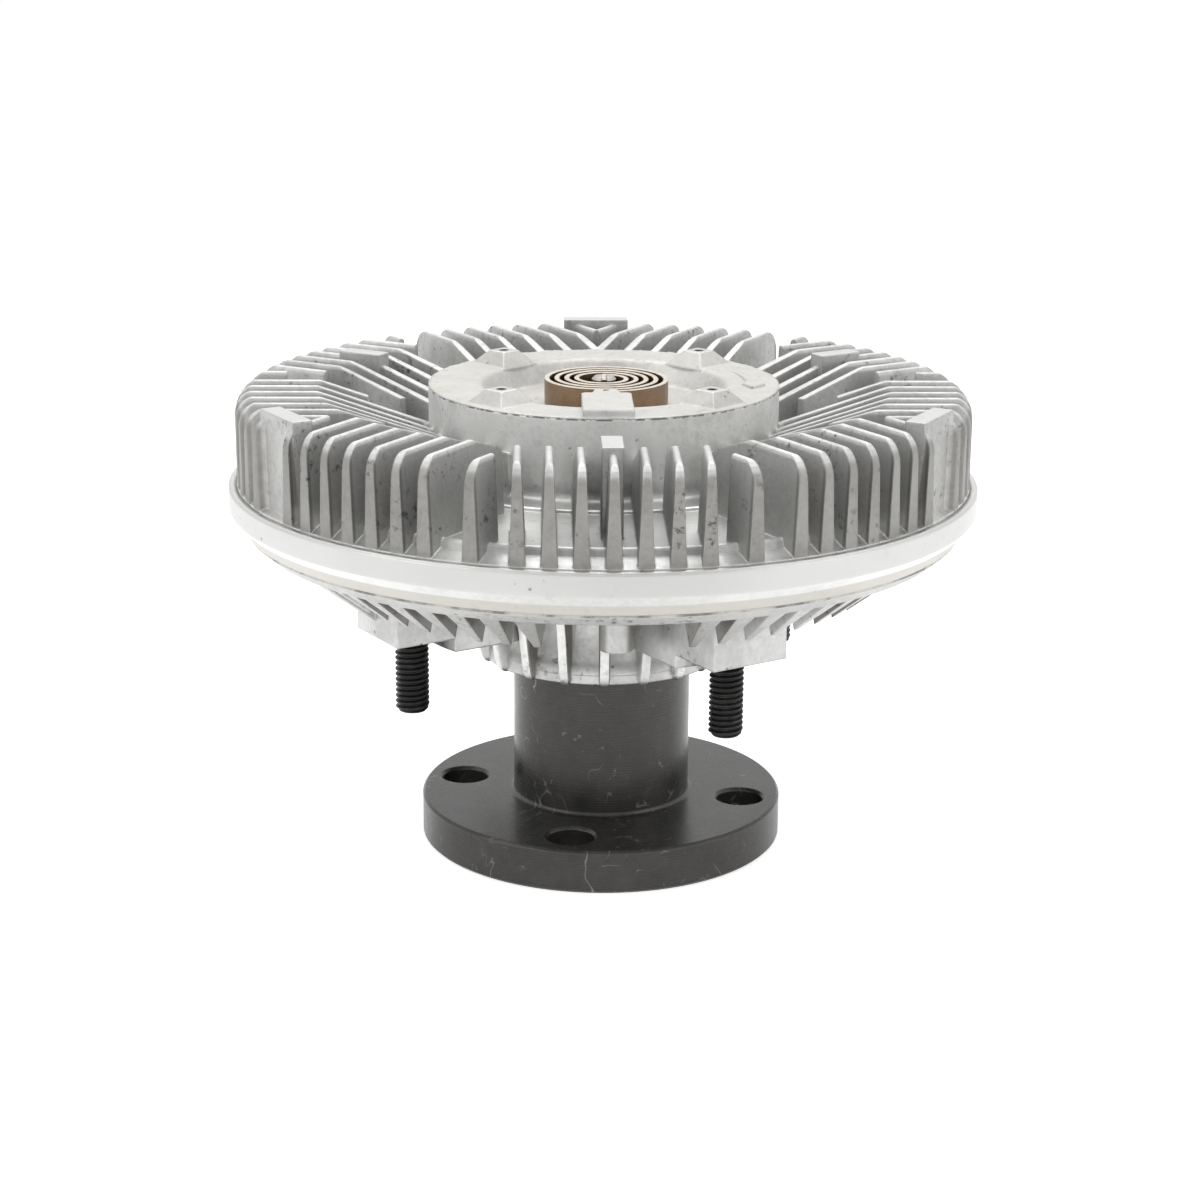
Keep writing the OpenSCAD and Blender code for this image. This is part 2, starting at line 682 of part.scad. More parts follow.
module cover_shell() {
    wall_a = atan(dish_depth / dish_slope);
    round_x = dish_d / 2 + dish_round * tan(wall_a / 2);
    foot_x = dish_d / 2 - dish_slope - dish_foot * tan(wall_a / 2);
    turned(concat(
        [[bush_r + seat_fit, bush_z], [bush_r + 3.5, bush_z], [bush_r + 3.5, roof_z],
         [tank_r - tank_fillet, roof_z]],
        arc(tank_r - tank_fillet, roof_z - tank_fillet, tank_fillet, 90, 0),
        [[tank_r, plate_top], [plate_r + seat_fit, plate_top], [plate_r + seat_fit, cover_z]],
        lands(land_r + land_w + land_gap, land_count - 1, cover_z, cover_z - land_h),
        [[chamber_r, cover_z], [chamber_r, seat_z], [edge_r - seat_fit, seat_z], [edge_r - seat_fit, lip_z],
         [cover_top_r, lip_z], [cover_top_r, ledge_z], [shoulder_r + 0.3, ledge_z + ledge_rise]],
        arc(shoulder_r - bead_r, floor_z - bead_r / 2, bead_r, 0, 150),
        [[shoulder_r - 4, floor_z], [drum_r + 13.4, floor_z]],
        arc(drum_r + 12, floor_z - 0.2, 1.2, 10, 170, 4),
        [[drum_r + 10.6, floor_z]],
        arc(drum_r + drum_fillet, floor_z + drum_fillet, drum_fillet, 270, 180),
        [[drum_r, drum_top - 0.5], [drum_r - 0.5, drum_top]],
        arc(round_x, drum_top - dish_round, dish_round, 90, 90 + wall_a),
        arc(foot_x, dish_z + dish_foot, dish_foot, 270 + wall_a, 270),
        [[bush_r + seat_fit, dish_z]]));
}

// Places of the fins in one side group, counted from the narrow pad's side
function side_place(i) = fin_first - i * fin_pitch;

module fin(place, from_r) {
    foot_z = rim_top + 0.2;
    inner = max(sqrt(max(0, pow(from_r, 2) - pow(place, 2))), abs(min(place, 0)) / tan(30) + 0.2);
    translate([0, place, 0]) beam(inner, fin_ring_d / 2 + 1,
        [[-fin_foot / 2, foot_z], [fin_foot / 2, foot_z], [fin_tip / 2, fin_top - fin_tip / 2],
         [fin_tip * 0.36, fin_top - 0.3], [fin_tip * 0.14, fin_top], [-fin_tip * 0.14, fin_top],
         [-fin_tip * 0.36, fin_top - 0.3], [-fin_tip / 2, fin_top - fin_tip / 2]]);
}

module side_group() {
    for (i = [0 : fin_count - 1]) fin(side_place(i), i == 0 ? fin_first_r : drum_r - 2);
    fin(fin_short_place, min(fin_ring_d / 2 - fin_short_l, shoulder_r - 2));
}

module narrow_group() {
    half = (fin_count - 1) / 2;
    for (i = [-half : half]) mirror([0, i < 0 ? 1 : 0, 0])
        fin(abs(i) * fin_pitch, abs(i) == 3 ? fin_knee_r + 1 : abs(i) == 2 ? drum_r + 10 : drum_r - 2);
}

module fin_space() {
    r = fin_ring_d / 2;
    top = fin_top + 0.5;
    knee_z = fin_top - (fin_knee_r - drum_r + 3) * tan(fin_slope);
    turned(concat([[drum_r - 3, ledge_z - 1], [r, ledge_z - 1]],
                  arc(r - fin_corner, top - fin_corner, fin_corner, 0, 90),
                  [[fin_knee_r + 0.5 / tan(fin_slope), top], [drum_r - 3, knee_z]]));
}

module fins() {
    intersection() {
        union() {
            for (k = [0 : 2]) rotate([0, 0, 30 + 120 * k]) {
                narrow_group();
                rotate([0, 0, -30]) side_group();
                mirror([0, 1, 0]) rotate([0, 0, -30]) side_group();
            }
        }
        fin_space();
    }
}

module pads() {
    for (k = [0 : 2]) rotate([0, 0, 30 + 120 * k]) {
        translate([pad_narrow_r - pad_narrow_l, -pad_narrow_w / 2, floor_z - 1])
            cube([pad_narrow_l, pad_narrow_w, pad_top - floor_z + 1]);
        rotate([0, 0, 60]) translate([pad_wide_r - pad_wide_t, -pad_wide_w / 2, rim_top + 0.2])
            cube([pad_wide_t, pad_wide_w, pad_top - rim_top - 0.2]);
    }
}

// A small boss with sloping sides and a blind hole
module cover_boss() {
    z = drum_top - 0.4;
    top_z = drum_top + boss_h;
    outline = [[-boss_foot / 2, z - 2], [boss_foot / 2, z - 2], [boss_foot / 2, z], [boss_top / 2, top_z],
               [-boss_top / 2, top_z], [-boss_foot / 2, z]];
    translate([boss_r, 0, 0]) intersection() {
        beam(-boss_foot, boss_foot, outline);
        rotate([0, 0, 90]) beam(-boss_foot, boss_foot, outline);
    }
}

// Post that holds the outer end of the coil
module anchor_post() {
    nose_r = coil_d / 2 + post_gap;
    nose_w = post_w * 0.4;
    translate([0, 0, dish_z - 1]) linear_extrude(post_top - dish_z + 1)
        polygon([[post_r, -post_w / 2], [post_r, post_w / 2], [post_in_r + 1, post_w / 2],
                 [post_in_r, post_w / 2 - 1], [post_in_r, nose_w * 0.7], [nose_r, nose_w / 2],
                 [nose_r, -nose_w / 2], [post_in_r, -nose_w * 0.7], [post_in_r, 1 - post_w / 2],
                 [post_in_r + 1, -post_w / 2]]);
}

module front_cover() {
    duct_y = wiper_w / 2 + duct_d / 2 + 1.5;
    color(alloy)
    rotate([0, 0, cover_turn]) difference() {
        union() {
            cover_shell();
            fins();
            pads();
            around(boss_count, boss_turn) cover_boss();
            around(boss_count, boss_turn) translate([boss_r, 0, plate_top])
                cylinder(r = screw_d / 2 + screw_wall, h = roof_z - plate_top + 1);
            rotate([0, 0, -90]) anchor_post();
        }
        around(boss_count, boss_turn) translate([boss_r, 0, drum_top + boss_h - boss_hole_l])
            cylinder(d = boss_hole_d, h = boss_hole_l + 1);
        around(boss_count, boss_turn) translate([boss_r, 0, plate_top - 1])
            cylinder(r = screw_d / 2 + seat_fit, h = screw_grip + screw_spare + 1);
        rotate([0, 0, -90]) translate([coil_d / 2, -coil_t / 2 - seat_fit, coil_z - 0.2])
            cube([tang_l + 0.6, coil_t + 2 * seat_fit, coil_w + 3]);
        translate([rotor_r - wiper_l, -wiper_w / 2 - seat_fit, cover_z - land_h - 1])
            cube([wiper_l, wiper_w + 2 * seat_fit, land_h + 3]);
        translate([tank_r - 5, duct_y, duct_z]) rotate([0, 90, 0])
            cylinder(d = duct_d, h = rotor_r - tank_r + 2.5);
        translate([rotor_r - 2.5, duct_y, cover_z - 1]) cylinder(d = duct_d, h = duct_z - cover_z + 1);
    }
}

module cover_seal() {
    color(black_rubber)
    translate([0, 0, seat_z - cover_seal_d / 2]) rotate_extrude()
        translate([seal_groove_r, 0]) circle(d = cover_seal_d);
}

module partition_plate() {
    color(bright_steel)
    rotate([0, 0, cover_turn]) translate([0, 0, cover_z]) difference() {
        cylinder(r = plate_r, h = plate_t);
        translate([0, 0, -1]) cylinder(r = valve_d / 2 + run_fit, h = plate_t + 2);
        around(2) translate([port_r, 0, -1]) cylinder(d = port_d, h = plate_t + 2);
        around(boss_count, boss_turn) translate([boss_r, 0, -1])
            cylinder(d = screw_d + 0.4, h = plate_t + 2);
    }
}

module plate_screws() {
    color(bright_steel)
    around(boss_count, boss_turn + cover_turn) translate([boss_r, 0, 0])
        turned([[0, cover_z - screw_head_h], [screw_d * 0.75, cover_z - screw_head_h],
                [screw_d * 0.9, cover_z - 0.6], [screw_d * 0.9, cover_z], [screw_d / 2, cover_z],
                [screw_d / 2, plate_top + screw_grip], [0, plate_top + screw_grip]]);
}

module wiper_block() {
    color(bronze)
    rotate([0, 0, cover_turn])
        translate([rotor_r - wiper_l + seat_fit, -wiper_w / 2, cover_z - face_gap + 0.3])
            cube([wiper_l - 2 * seat_fit, wiper_w, face_gap + 1.7 - seat_fit]);
}

module valve_bush() {
    color(bronze)
    translate([0, 0, bush_z]) difference() {
        cylinder(r = bush_r, h = dish_z - bush_z);
        translate([0, 0, -1]) cylinder(r = valve_d / 2 + run_fit, h = dish_z - bush_z + 2);
    }
}

module valve_shaft() {
    r = valve_d / 2;
    groove_z = roof_z - 1;
    color(bright_steel)
    rotate([0, 0, cover_turn]) difference() {
        turned([[0, cover_z + 0.2], [r, cover_z + 0.2], [r, groove_z], [r - 0.95, groove_z],
                [r - 0.95, groove_z + 1], [r, groove_z + 1], [r, coil_top - 0.2],
                [r - 0.8, coil_top + 0.6], [0, coil_top + 0.6]]);
        translate([0, 0, coil_z - 0.2 + coil_w])
            cube([coil_t + 2 * run_fit, valve_d + 2, 2 * coil_w], center = true);
    }
}

module valve_shaft_seal() {
    color(black_rubber)
    translate([0, 0, roof_z - 0.5]) rotate_extrude()
        translate([valve_d / 2 - 0.47, 0]) circle(d = 0.92);
}

module valve_arm() {
    z = plate_top + 0.3;
    color(bright_steel)
    rotate([0, 0, cover_turn]) translate([0, 0, z]) difference() {
        union() {
            cylinder(r = valve_d / 2 + arm_collar, h = arm_t + arm_collar_h);
            for (a = [0, 180]) rotate([0, 0, a]) {
                translate([0, -arm_w / 2, 0]) cube([port_r, arm_w, arm_t]);
                translate([port_r, 0, 0]) cylinder(d = arm_w, h = arm_t);
            }
        }
        translate([0, 0, -1]) cylinder(r = valve_d / 2 + seat_fit / 2, h = arm_t + arm_collar_h + 2);
    }
}

// One half turn of the coil's strip about its own centre
module half_turn(r) {
    rotate_extrude(angle = 180) translate([r - coil_t / 2, 0]) square([coil_t, coil_w]);
}

module bimetal_coil() {
    first_r = coil_d / 2 - coil_pitch / 4 - coil_t / 2;
    last_r = first_r - (coil_halves - 1) * coil_pitch / 2;
    end = last_r - coil_pitch / 4;
    color(bronze)
    rotate([0, 0, cover_turn - 90]) translate([0, 0, coil_z]) union() {
        for (i = [0 : coil_halves - 1]) translate([(i % 2 == 0 ? 1 : -1) * coil_pitch / 4, 0, 0])
            rotate([0, 0, i % 2 == 0 ? 0 : 180]) half_turn(first_r - i * coil_pitch / 2);
        translate([-end - coil_t / 2, -coil_t / 2, 0])
            cube([end + coil_t / 2 + valve_d / 2 - 0.5, coil_t, coil_w]);
        translate([coil_d / 2 - coil_t, -coil_t / 2, 0]) cube([coil_t + tang_l, coil_t, coil_w]);
    }
}

flange_shaft();
rotor();
bearing_inner_ring();
bearing_outer_ring();
bearing_balls();
bearing_cage();
bearing_seal_rear();
bearing_seal_front();
bearing_retaining_ring();
rear_body();
fan_studs();
front_cover();
cover_seal();
partition_plate();
plate_screws();
wiper_block();
valve_bush();
valve_shaft();
valve_shaft_seal();
valve_arm();
bimetal_coil();
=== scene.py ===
import math

import bpy
import numpy as np
from bpy.props import FloatProperty, FloatVectorProperty, IntProperty, PointerProperty
from bpy.types import Operator, Panel, PropertyGroup
from mathutils import Matrix, Vector


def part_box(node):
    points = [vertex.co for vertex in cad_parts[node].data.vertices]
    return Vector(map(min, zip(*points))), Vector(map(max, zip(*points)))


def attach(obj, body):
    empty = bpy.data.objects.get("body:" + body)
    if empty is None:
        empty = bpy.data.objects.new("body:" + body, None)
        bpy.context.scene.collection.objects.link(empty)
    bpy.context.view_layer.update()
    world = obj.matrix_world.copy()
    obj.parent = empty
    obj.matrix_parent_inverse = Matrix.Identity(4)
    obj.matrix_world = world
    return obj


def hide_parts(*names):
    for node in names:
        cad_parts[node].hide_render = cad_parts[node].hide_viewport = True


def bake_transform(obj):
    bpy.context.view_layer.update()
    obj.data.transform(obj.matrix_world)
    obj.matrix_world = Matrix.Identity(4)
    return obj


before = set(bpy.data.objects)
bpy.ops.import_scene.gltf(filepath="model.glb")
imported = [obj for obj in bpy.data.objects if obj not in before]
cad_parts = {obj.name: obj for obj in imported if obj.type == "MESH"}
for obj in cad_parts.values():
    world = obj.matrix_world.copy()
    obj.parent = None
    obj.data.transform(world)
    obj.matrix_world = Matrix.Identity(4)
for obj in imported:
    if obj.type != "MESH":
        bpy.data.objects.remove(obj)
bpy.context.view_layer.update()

bl_info = {
    "name": "Viscous Fan Clutch",
    "version": (1, 0, 0),
    "blender": (4, 5, 0),
    "location": "View3D > Sidebar > Fan Clutch",
    "description": "Threads, cast marks, metal finishes and a white studio for a viscous fan clutch",
    "category": "Object",
}

STUD_LOW, STUD_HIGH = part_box("fan_studs")
RIM_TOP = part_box("rear_body")[1].z
# Directions, in degrees, of the first fan stud, of the cover's bosses and of the outer faces of the wide pads
STUD_TURN, COVER_TURN, WIDE_PADS = 32.65, 1.6, (90.0, 210.0, 330.0)
# Distance of a boss's hole from the planes through the axis, and half the side of the floor
BOSS_REACH, FLOOR_REACH = 0.02899, 4.0
# Mean roughness of the two castings
COVER_MATTE, BODY_MATTE = 0.61, 0.46
# Point that the lamps shine at
LAMP_AIM = (0.0, 0.0, 0.1)
# Radius inside the hub's wall, where the forms on the hub begin
HUB_INSIDE = 0.0296


def metres(name, description, default):
    """A length."""
    return FloatProperty(name=name, description=description, default=default, unit="LENGTH")


def degrees(name, description, default):
    """An angle, given in degrees."""
    return FloatProperty(name=name, description=description, default=math.radians(default), subtype="ANGLE")


def watts(name, description, default):
    """The power of a lamp."""
    return FloatProperty(name=name, description=description, default=default, unit="POWER")


def linear_colour(name, description, default):
    """A linear colour."""
    return FloatVectorProperty(name=name, description=description, subtype="COLOR", size=3, default=default)


def number(name, description, default, least=1):
    """A number of like things."""
    return IntProperty(name=name, description=description, default=default, min=least)


class ClutchDetailSettings(PropertyGroup):
    """Sizes of the threads, of the coil and of the small forms on the castings."""

    stud_circle: metres("Stud circle", "Diameter of the circle of fan studs", 0.127)
    stud_turn: degrees("Stud turn", "Direction of the first fan stud", STUD_TURN)
    stud_diameter: metres("Stud diameter", "Diameter over the crests of the thread", 0.009525)
    stud_count: number("Studs", "Number of fan studs", 4)
    lug_face: metres("Lug face", "Height of the faces that the fan is bolted to", 0.07077)
    fixed_diameter: metres("Fixed end", "Diameter of the stud's end inside its lug", 0.0087)
    thread_pitch: metres("Thread pitch", "Distance between neighbouring crests", 0.0015875)
    thread_depth: metres("Thread depth", "Height of a crest above its root", 0.00092)
    drum_radius: metres("Drum radius", "Distance of the drum's edge from the axis", 0.05023)
    drum_top: metres("Drum top", "Height of the drum's flat top", 0.13587)
    flash_height: metres("Flash height", "Largest height of the flash on the drum's edge", 0.00055)
    arrow_radius: metres("Arrow radius", "Distance of the arrow's middle line from the axis", 0.0429)
    arrow_width: metres("Arrow width", "Width of the arrow's shaft", 0.0042)
    arrow_barb: metres("Arrow barb", "Width over the barbs of the arrow's head", 0.0061)
    arrow_height: metres("Arrow height", "Height of the arrow above the drum", 0.0008)
    hub_ribs: number("Hub ribs", "Number of ribs round the hub", 20)
    hub_rib_turn: degrees("Hub rib turn", "Direction of the first hub rib", 1.2)
    hub_rib_width: metres("Hub rib width", "Thickness of a hub rib at its outer edge", 0.0031)
    coil_diameter: metres("Coil diameter", "Diameter over the bimetal coil's outermost turn", 0.0383)
    coil_low: metres("Coil height", "Height of the coil's lower edge", 0.13002)
    coil_width: metres("Strip width", "Width of the bimetal strip, which stands on edge", 0.00695)
    coil_thickness: metres("Strip thickness", "Thickness of the bimetal strip", 0.0014)
    coil_pitch: metres("Coil pitch", "Distance from one turn of the coil to the next", 0.00284)
    coil_halves: number("Half turns", "Half turns of the coil", 9, least=3)
    coil_turn: degrees("Coil turn", "Direction of the coil's outer end", -88.4)
    coil_bend: metres("Strip bend", "Radius of the bends at the strip's two ends", 0.00072)
    outer_end: metres("Outer end", "Distance of the strip's outer end from the axis", 0.02255)
    inner_end: metres("Inner end", "How far the strip's inner end runs past the axis", 0.0030)
    lip_radius: metres("Lip radius", "Distance of the rolled lip's middle from the axis", 0.10615)
    lip_width: metres("Lip width", "Width of the rounded lip", 0.0021)


class ClutchFinishSettings(PropertyGroup):
    """Colours of the metals and the amount of wear on them."""

    cast_light: linear_colour("Casting, light", "Clean skin of the die casting", (0.66, 0.66, 0.65))
    cast_dark: linear_colour("Casting, dark", "Dull skin of the die casting", (0.52, 0.52, 0.513))
    # Also the painted shade in the boss holes and the painted shadow below the drum's flash.
    cast_stain_and_shade: linear_colour("Casting, stain", "Die lubricant burnt into the skin", (0.075, 0.073, 0.070))
    # Painted shade: darkens the fins' sides and outer ends, the turned band and the rib sides.
    cast_dull_and_shade: linear_colour("Casting, dull", "Skin dulled by heat and dust", (0.27, 0.262, 0.245))
    # Painted light: lightens the drum's wall, the floor between the fins, the hub's wall, the rib edges and
    # the rim's bevel.
    cast_painted_light: linear_colour("Casting, pale", "Brightest skin of the casting", (0.86, 0.86, 0.845))
    turned_alloy: linear_colour("Turned alloy", "Freshly machined aluminium", (0.66, 0.66, 0.65))
    rim_beige: linear_colour("Rim, beige", "Dull oxidised strip below the turned rim", (0.63, 0.615, 0.575))
    shaft_steel: linear_colour("Shaft steel", "Blackened steel of the shaft", (0.062, 0.060, 0.057))
    shaft_scuff: linear_colour("Shaft scuff", "Steel under scratched blackening", (0.42, 0.415, 0.40))
    stud_black: linear_colour("Stud black", "Black oxide on the studs", (0.014, 0.0135, 0.013))
    strip_face: linear_colour("Strip face", "Broad face of the bimetal strip", (0.33, 0.225, 0.145))
    strip_edge: linear_colour("Strip edge", "Slit edge of the bimetal strip", (0.82, 0.745, 0.63))
    wear: FloatProperty(
        name="Edge wear", description="How bright the rubbed edges are",
        default=0.35, min=0.0, max=1.0, subtype="FACTOR")


class ClutchStudioSettings(PropertyGroup):
    """Camera, lamps and floor."""

    camera_distance: metres("Camera distance", "Distance of the camera from the axis", 0.70883)
    camera_height: metres("Camera height", "Height of the camera above the floor", 0.27768)
    camera_pitch: degrees("Camera pitch", "How far the camera looks down", 16.282)
    camera_yaw: degrees("Camera yaw", "Turn of the camera about the vertical", 0.0537)
    camera_roll: degrees("Camera roll", "Turn of the camera about its own line of sight", 0.4077)
    camera_lens: FloatProperty(
        name="Lens", description="Focal length in millimetres on a 36 mm sensor",
        default=75.356, min=10.0)
    key_power: watts("Key lamp", "Power of the large lamp at the left", 2.4)
    fill_power: watts("Fill lamp", "Power of the large lamp at the right", 1.8)
    top_power: watts("Top lamp", "Power of the lamp above", 6.0)
    ambient: FloatProperty(
        name="Ambient", description="Strength of the even light around the object", default=0.45, min=0.0)
    floor_colour: linear_colour("Floor", "Colour of the floor", (0.88, 0.88, 0.88))


# Meshes

def grid_faces(rows, columns):
    """Quads of a grid whose columns close on themselves: each quad joins a corner, the next column's
    corner and the same two in the next row."""
    i, j = np.meshgrid(np.arange(rows - 1), np.arange(columns), indexing="ij")
    a = i * columns + j
    b = i * columns + (j + 1) % columns
    return np.stack([a, b, b + columns, a + columns], axis=-1).reshape(-1, 4)


def cap_faces(first, columns, centre, upward):
    """Triangles from one row of a closed grid to a centre point."""
    j = np.arange(columns)
    ring, following = first + j, first + (j + 1) % columns
    middle = np.full(columns, centre)
    return np.stack([ring, following, middle] if upward else [following, ring, middle], axis=-1)


def closed_tube(points):
    """A tube from rows of points, each row a loop, with a flat cap at both ends. Returns corners and
    faces; the rows run so that the loops turn anticlockwise seen from the last row."""
    rows, columns = points.shape[:2]
    corners = np.concatenate([points.reshape(-1, 3), points[:1].mean(axis=1), points[-1:].mean(axis=1)])
    count = rows * columns
    faces = grid_faces(rows, columns).tolist()
    faces += cap_faces(0, columns, count, False).tolist()
    faces += cap_faces(count - columns, columns, count + 1, True).tolist()
    return corners, faces


def closed_ring(points):
    """A ring from rows of points, each row a loop of the profile, joined to the next and the last to the
    first. Returns corners and faces."""
    count, loop = points.shape[:2]
    i, j = np.meshgrid(np.arange(count), np.arange(loop), indexing="ij")
    a, b = i * loop + j, i * loop + (j + 1) % loop
    c, d = (i + 1) % count * loop + (j + 1) % loop, (i + 1) % count * loop + j
    return points.reshape(-1, 3), np.stack([d, c, b, a], axis=-1).reshape(-1, 4).tolist()


def circle(count):
    """Directions spread evenly round the axis."""
    return np.arange(count) * 2 * math.pi / count


def polar(radius, angle, height):
    """Points at a radius and an angle round the axis and at a height."""
    radius, angle, height = np.broadcast_arrays(radius, angle, height)
    return np.stack([radius * np.cos(angle), radius * np.sin(angle), height], axis=-1)


def new_object(name, data):
    """An object in the scene."""
    thing = bpy.data.objects.new(name, data)
    bpy.context.scene.collection.objects.link(thing)
    return thing


def make_piece(name, parts, body, material, smooth_angle=40.0):
    """One object at the origin from several closed shells, riding on a body of the frame if one is named."""
    corners, faces, start = [], [], 0
    for part_corners, part_faces in parts:
        corners.append(part_corners)
        faces += [[k + start for k in face] for face in part_faces]
        start += len(part_corners)
    mesh = bpy.data.meshes.new(name)
    mesh.from_pydata(np.concatenate(corners).tolist(), [], faces)
    mesh.update()
    mesh.shade_smooth()
    mesh.set_sharp_from_angle(angle=math.radians(smooth_angle))
    mesh.materials.append(material)
    piece = new_object(name, mesh)
    if body:
        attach(piece, body)
    return piece


def threaded_stud(settings, x, y):
    """A stud whose radius is a function of the angle and the height. The height in pitches less the
    angle in turns gives the place on the thread; a triangle wave of that place, cut flat at crest and
    root, is the height of the flank above the root. The radius near the end is cut by a 45 degree cone,
    and inside the lug by the fixed end's diameter."""
    columns, rows_per_pitch = 44, 16
    crest_flat, root_flat, chamfer = 0.16, 0.18, 0.00105
    low, high = STUD_LOW.z, STUD_HIGH.z
    z = np.concatenate([np.arange(low, high, settings.thread_pitch / rows_per_pitch), [high]])[:, None]
    angle = circle(columns)
    place = (z / settings.thread_pitch - angle / (2 * math.pi)) % 1.0
    flank = np.clip((1 - root_flat - 2 * np.abs(place - 0.5)) / (1 - root_flat - crest_flat), 0, 1)
    flank = flank * flank * (3 - 2 * flank)
    crest = settings.stud_diameter / 2
    radius = crest - settings.thread_depth * (1 - flank)
    radius = np.minimum(radius, crest - chamfer + (z - low))
    radius = np.where(z > settings.lug_face, settings.fixed_diameter / 2, radius)
    return closed_tube(polar(radius, angle, z) + [x, y, 0.0])


def flash_ridge(settings):
    """The fin of metal that squeezed out where the two halves of the die met: a small rounded profile
    carried round the drum's edge, whose height and reach are a sum of sines of the angle."""
    angle, ring = circle(1440)[:, None], circle(8)
    inset, reach, sunk, foot = 0.00034, 0.00042, 0.0002, 0.00025
    waves = ((7, 0.4, 0.30), (23, 1.9, 0.25), (41, 4.1, 0.22), (97, 2.7, 0.22), (211, 0.9, 0.2),
             (337, 3.3, 0.16))
    rough = sum(size * np.sin(turns * angle + phase) for turns, phase, size in waves)
    tall = settings.flash_height * np.clip(0.42 + 0.5 * rough, 0.1, 1.0)
    reach = reach * (0.7 + 0.3 * tall / settings.flash_height)
    out = settings.drum_radius - inset + reach * np.cos(ring)
    up = settings.drum_top - sunk + np.where(np.sin(ring) > 0, tall, foot) * np.sin(ring)
    return closed_ring(polar(out, angle, up))


def turn_arrow(settings):
    """A raised arrow along an arc: a flat-topped profile with sloping sides is carried along the arc.
    Its half width is constant on the shaft, grows evenly to the barbs and falls evenly to the point, and
    its height fades out towards the tail."""
    tail, neck, barb, point = np.radians([24.0, -0.5, -5.2, -11.4])
    point_width, side_slope, sunk, faded = 0.0004, 0.0005, 0.0002, 0.15
    stops = np.array([tail, neck, barb, point])[::-1]
    widths = np.array([settings.arrow_width, settings.arrow_width, settings.arrow_barb, point_width])[::-1]
    angle = np.concatenate([np.linspace(tail, neck, 28), np.linspace(neck, point, 20)[1:]])
    half = np.interp(angle, stops, widths / 2)
    rise = np.interp(angle, [neck, tail], [1.0, faded]) * settings.arrow_height
    side = np.array([-1.0, 1.0, 1.0, -1.0])[None, :]
    slope = np.array([side_slope, side_slope, 0.0, 0.0])[None, :]
    radius = settings.arrow_radius + side * (half[:, None] + slope)
    height = settings.drum_top + np.stack([0 * rise - sunk, 0 * rise - sunk, rise, rise], axis=-1)
    return closed_tube(polar(radius, angle[:, None], height))


def hub_rib_edge(settings, turn):
    """The thick cast edge of one hub rib: a flat-ended loop with chamfered corners is carried up the rib.
    Its outer end follows the rib's outline, which is rounded at the foot, nearly upright beside the hub
    and swept out under the web, and its width is drawn in at the foot."""
    z = np.array([55.35, 55.6, 56.1, 57.0, 58.4, 61.0, 65.0, 70.0, 75.0, 80.0, 84.0, 88.0, 93.0]) / 1000
    outer = np.array([34.9, 35.7, 36.4, 37.0, 37.5, 38.1, 38.8, 39.6, 40.8, 42.4, 44.2, 46.8, 50.6]) / 1000
    half = settings.hub_rib_width / 2 * np.concatenate([[0.5, 0.75, 0.9], np.ones(len(z) - 3)])
    inset = np.array([0.0, 0.0008, 0.0002, 0.0, 0.0, 0.0002, 0.0008, 0.0])
    side = np.array([-1.0, -1.0, -0.8, -0.48, 0.48, 0.8, 1.0, 1.0])
    along = outer[:, None] - inset[None, :]
    along[:, 0] = along[:, -1] = HUB_INSIDE
    across = half[:, None] * side[None, :]
    points = np.stack([along * math.cos(turn) - across * math.sin(turn),
                       along * math.sin(turn) + across * math.cos(turn),
                       np.broadcast_to(z[:, None], along.shape)], axis=-1)
    return closed_tube(points)


def hub_flare():
    """The hollow sweep from the hub's wall to its end ring: a profile whose radius falls with the height
    as a power of the distance to the sweep's top, closed inside the wall and carried round the axis."""
    wall, swell, power = 0.0304, 0.0049, 2.4
    base, foot, top = 0.0585, 0.0600, 0.0770
    part = np.linspace(0.0, 1.0, 14)
    outer = wall + swell * (1.0 - part) ** power
    height = foot + (top - foot) * part
    radius = np.concatenate([[HUB_INSIDE, wall + swell], outer, [HUB_INSIDE]])
    level = np.concatenate([[base, base], height, [top]])
    return closed_ring(polar(radius, circle(240)[:, None], level))


def strip_line(settings):
    """Middle line of the bimetal strip in plan: a straight outer end, a bend, half circles whose centres
    lie in turn a quarter of the pitch to one side of the axis and to the other, each smaller by half the
    pitch, another bend and a straight inner end across the axis. Returns the points and the numbers of
    those where the innermost half circle begins and ends."""
    bend, step, last = settings.coil_bend, settings.coil_pitch / 2, settings.coil_halves - 1
    per_half, in_last, in_bend = 48, 56, 10
    largest = settings.coil_diameter / 2 - settings.coil_thickness / 2 - step / 2
    begin = math.asin(bend / largest) / math.pi
    stop = settings.coil_halves - math.asin(bend / (largest - last * step)) / math.pi
    turn = np.concatenate([np.linspace(begin, last, per_half * last), np.linspace(last, stop, in_last)[1:]])
    half = np.minimum(np.floor(turn), last)
    centre = np.where(half % 2 == 0, step / 2, -step / 2)
    radius = largest - half * step
    spiral = np.stack([centre + radius * np.cos(math.pi * turn), radius * np.sin(math.pi * turn)], axis=-1)
    arc = np.linspace(-0.5, -1.0, in_bend)[:, None] * math.pi
    corner = np.concatenate([np.cos(arc), 1.0 + np.sin(arc)], axis=-1) * bend + [bend, 0.0]
    lead = np.concatenate([[[settings.outer_end, 0.0]], corner[:-1] + [spiral[0, 0], 0.0]])
    tail = np.concatenate([corner[-2::-1] + [spiral[-1, 0], 0.0], [[settings.inner_end, 0.0]]])
    first = len(lead) + per_half * last - 1
    return np.concatenate([lead, spiral, tail]), first, len(lead) + len(spiral) - 1


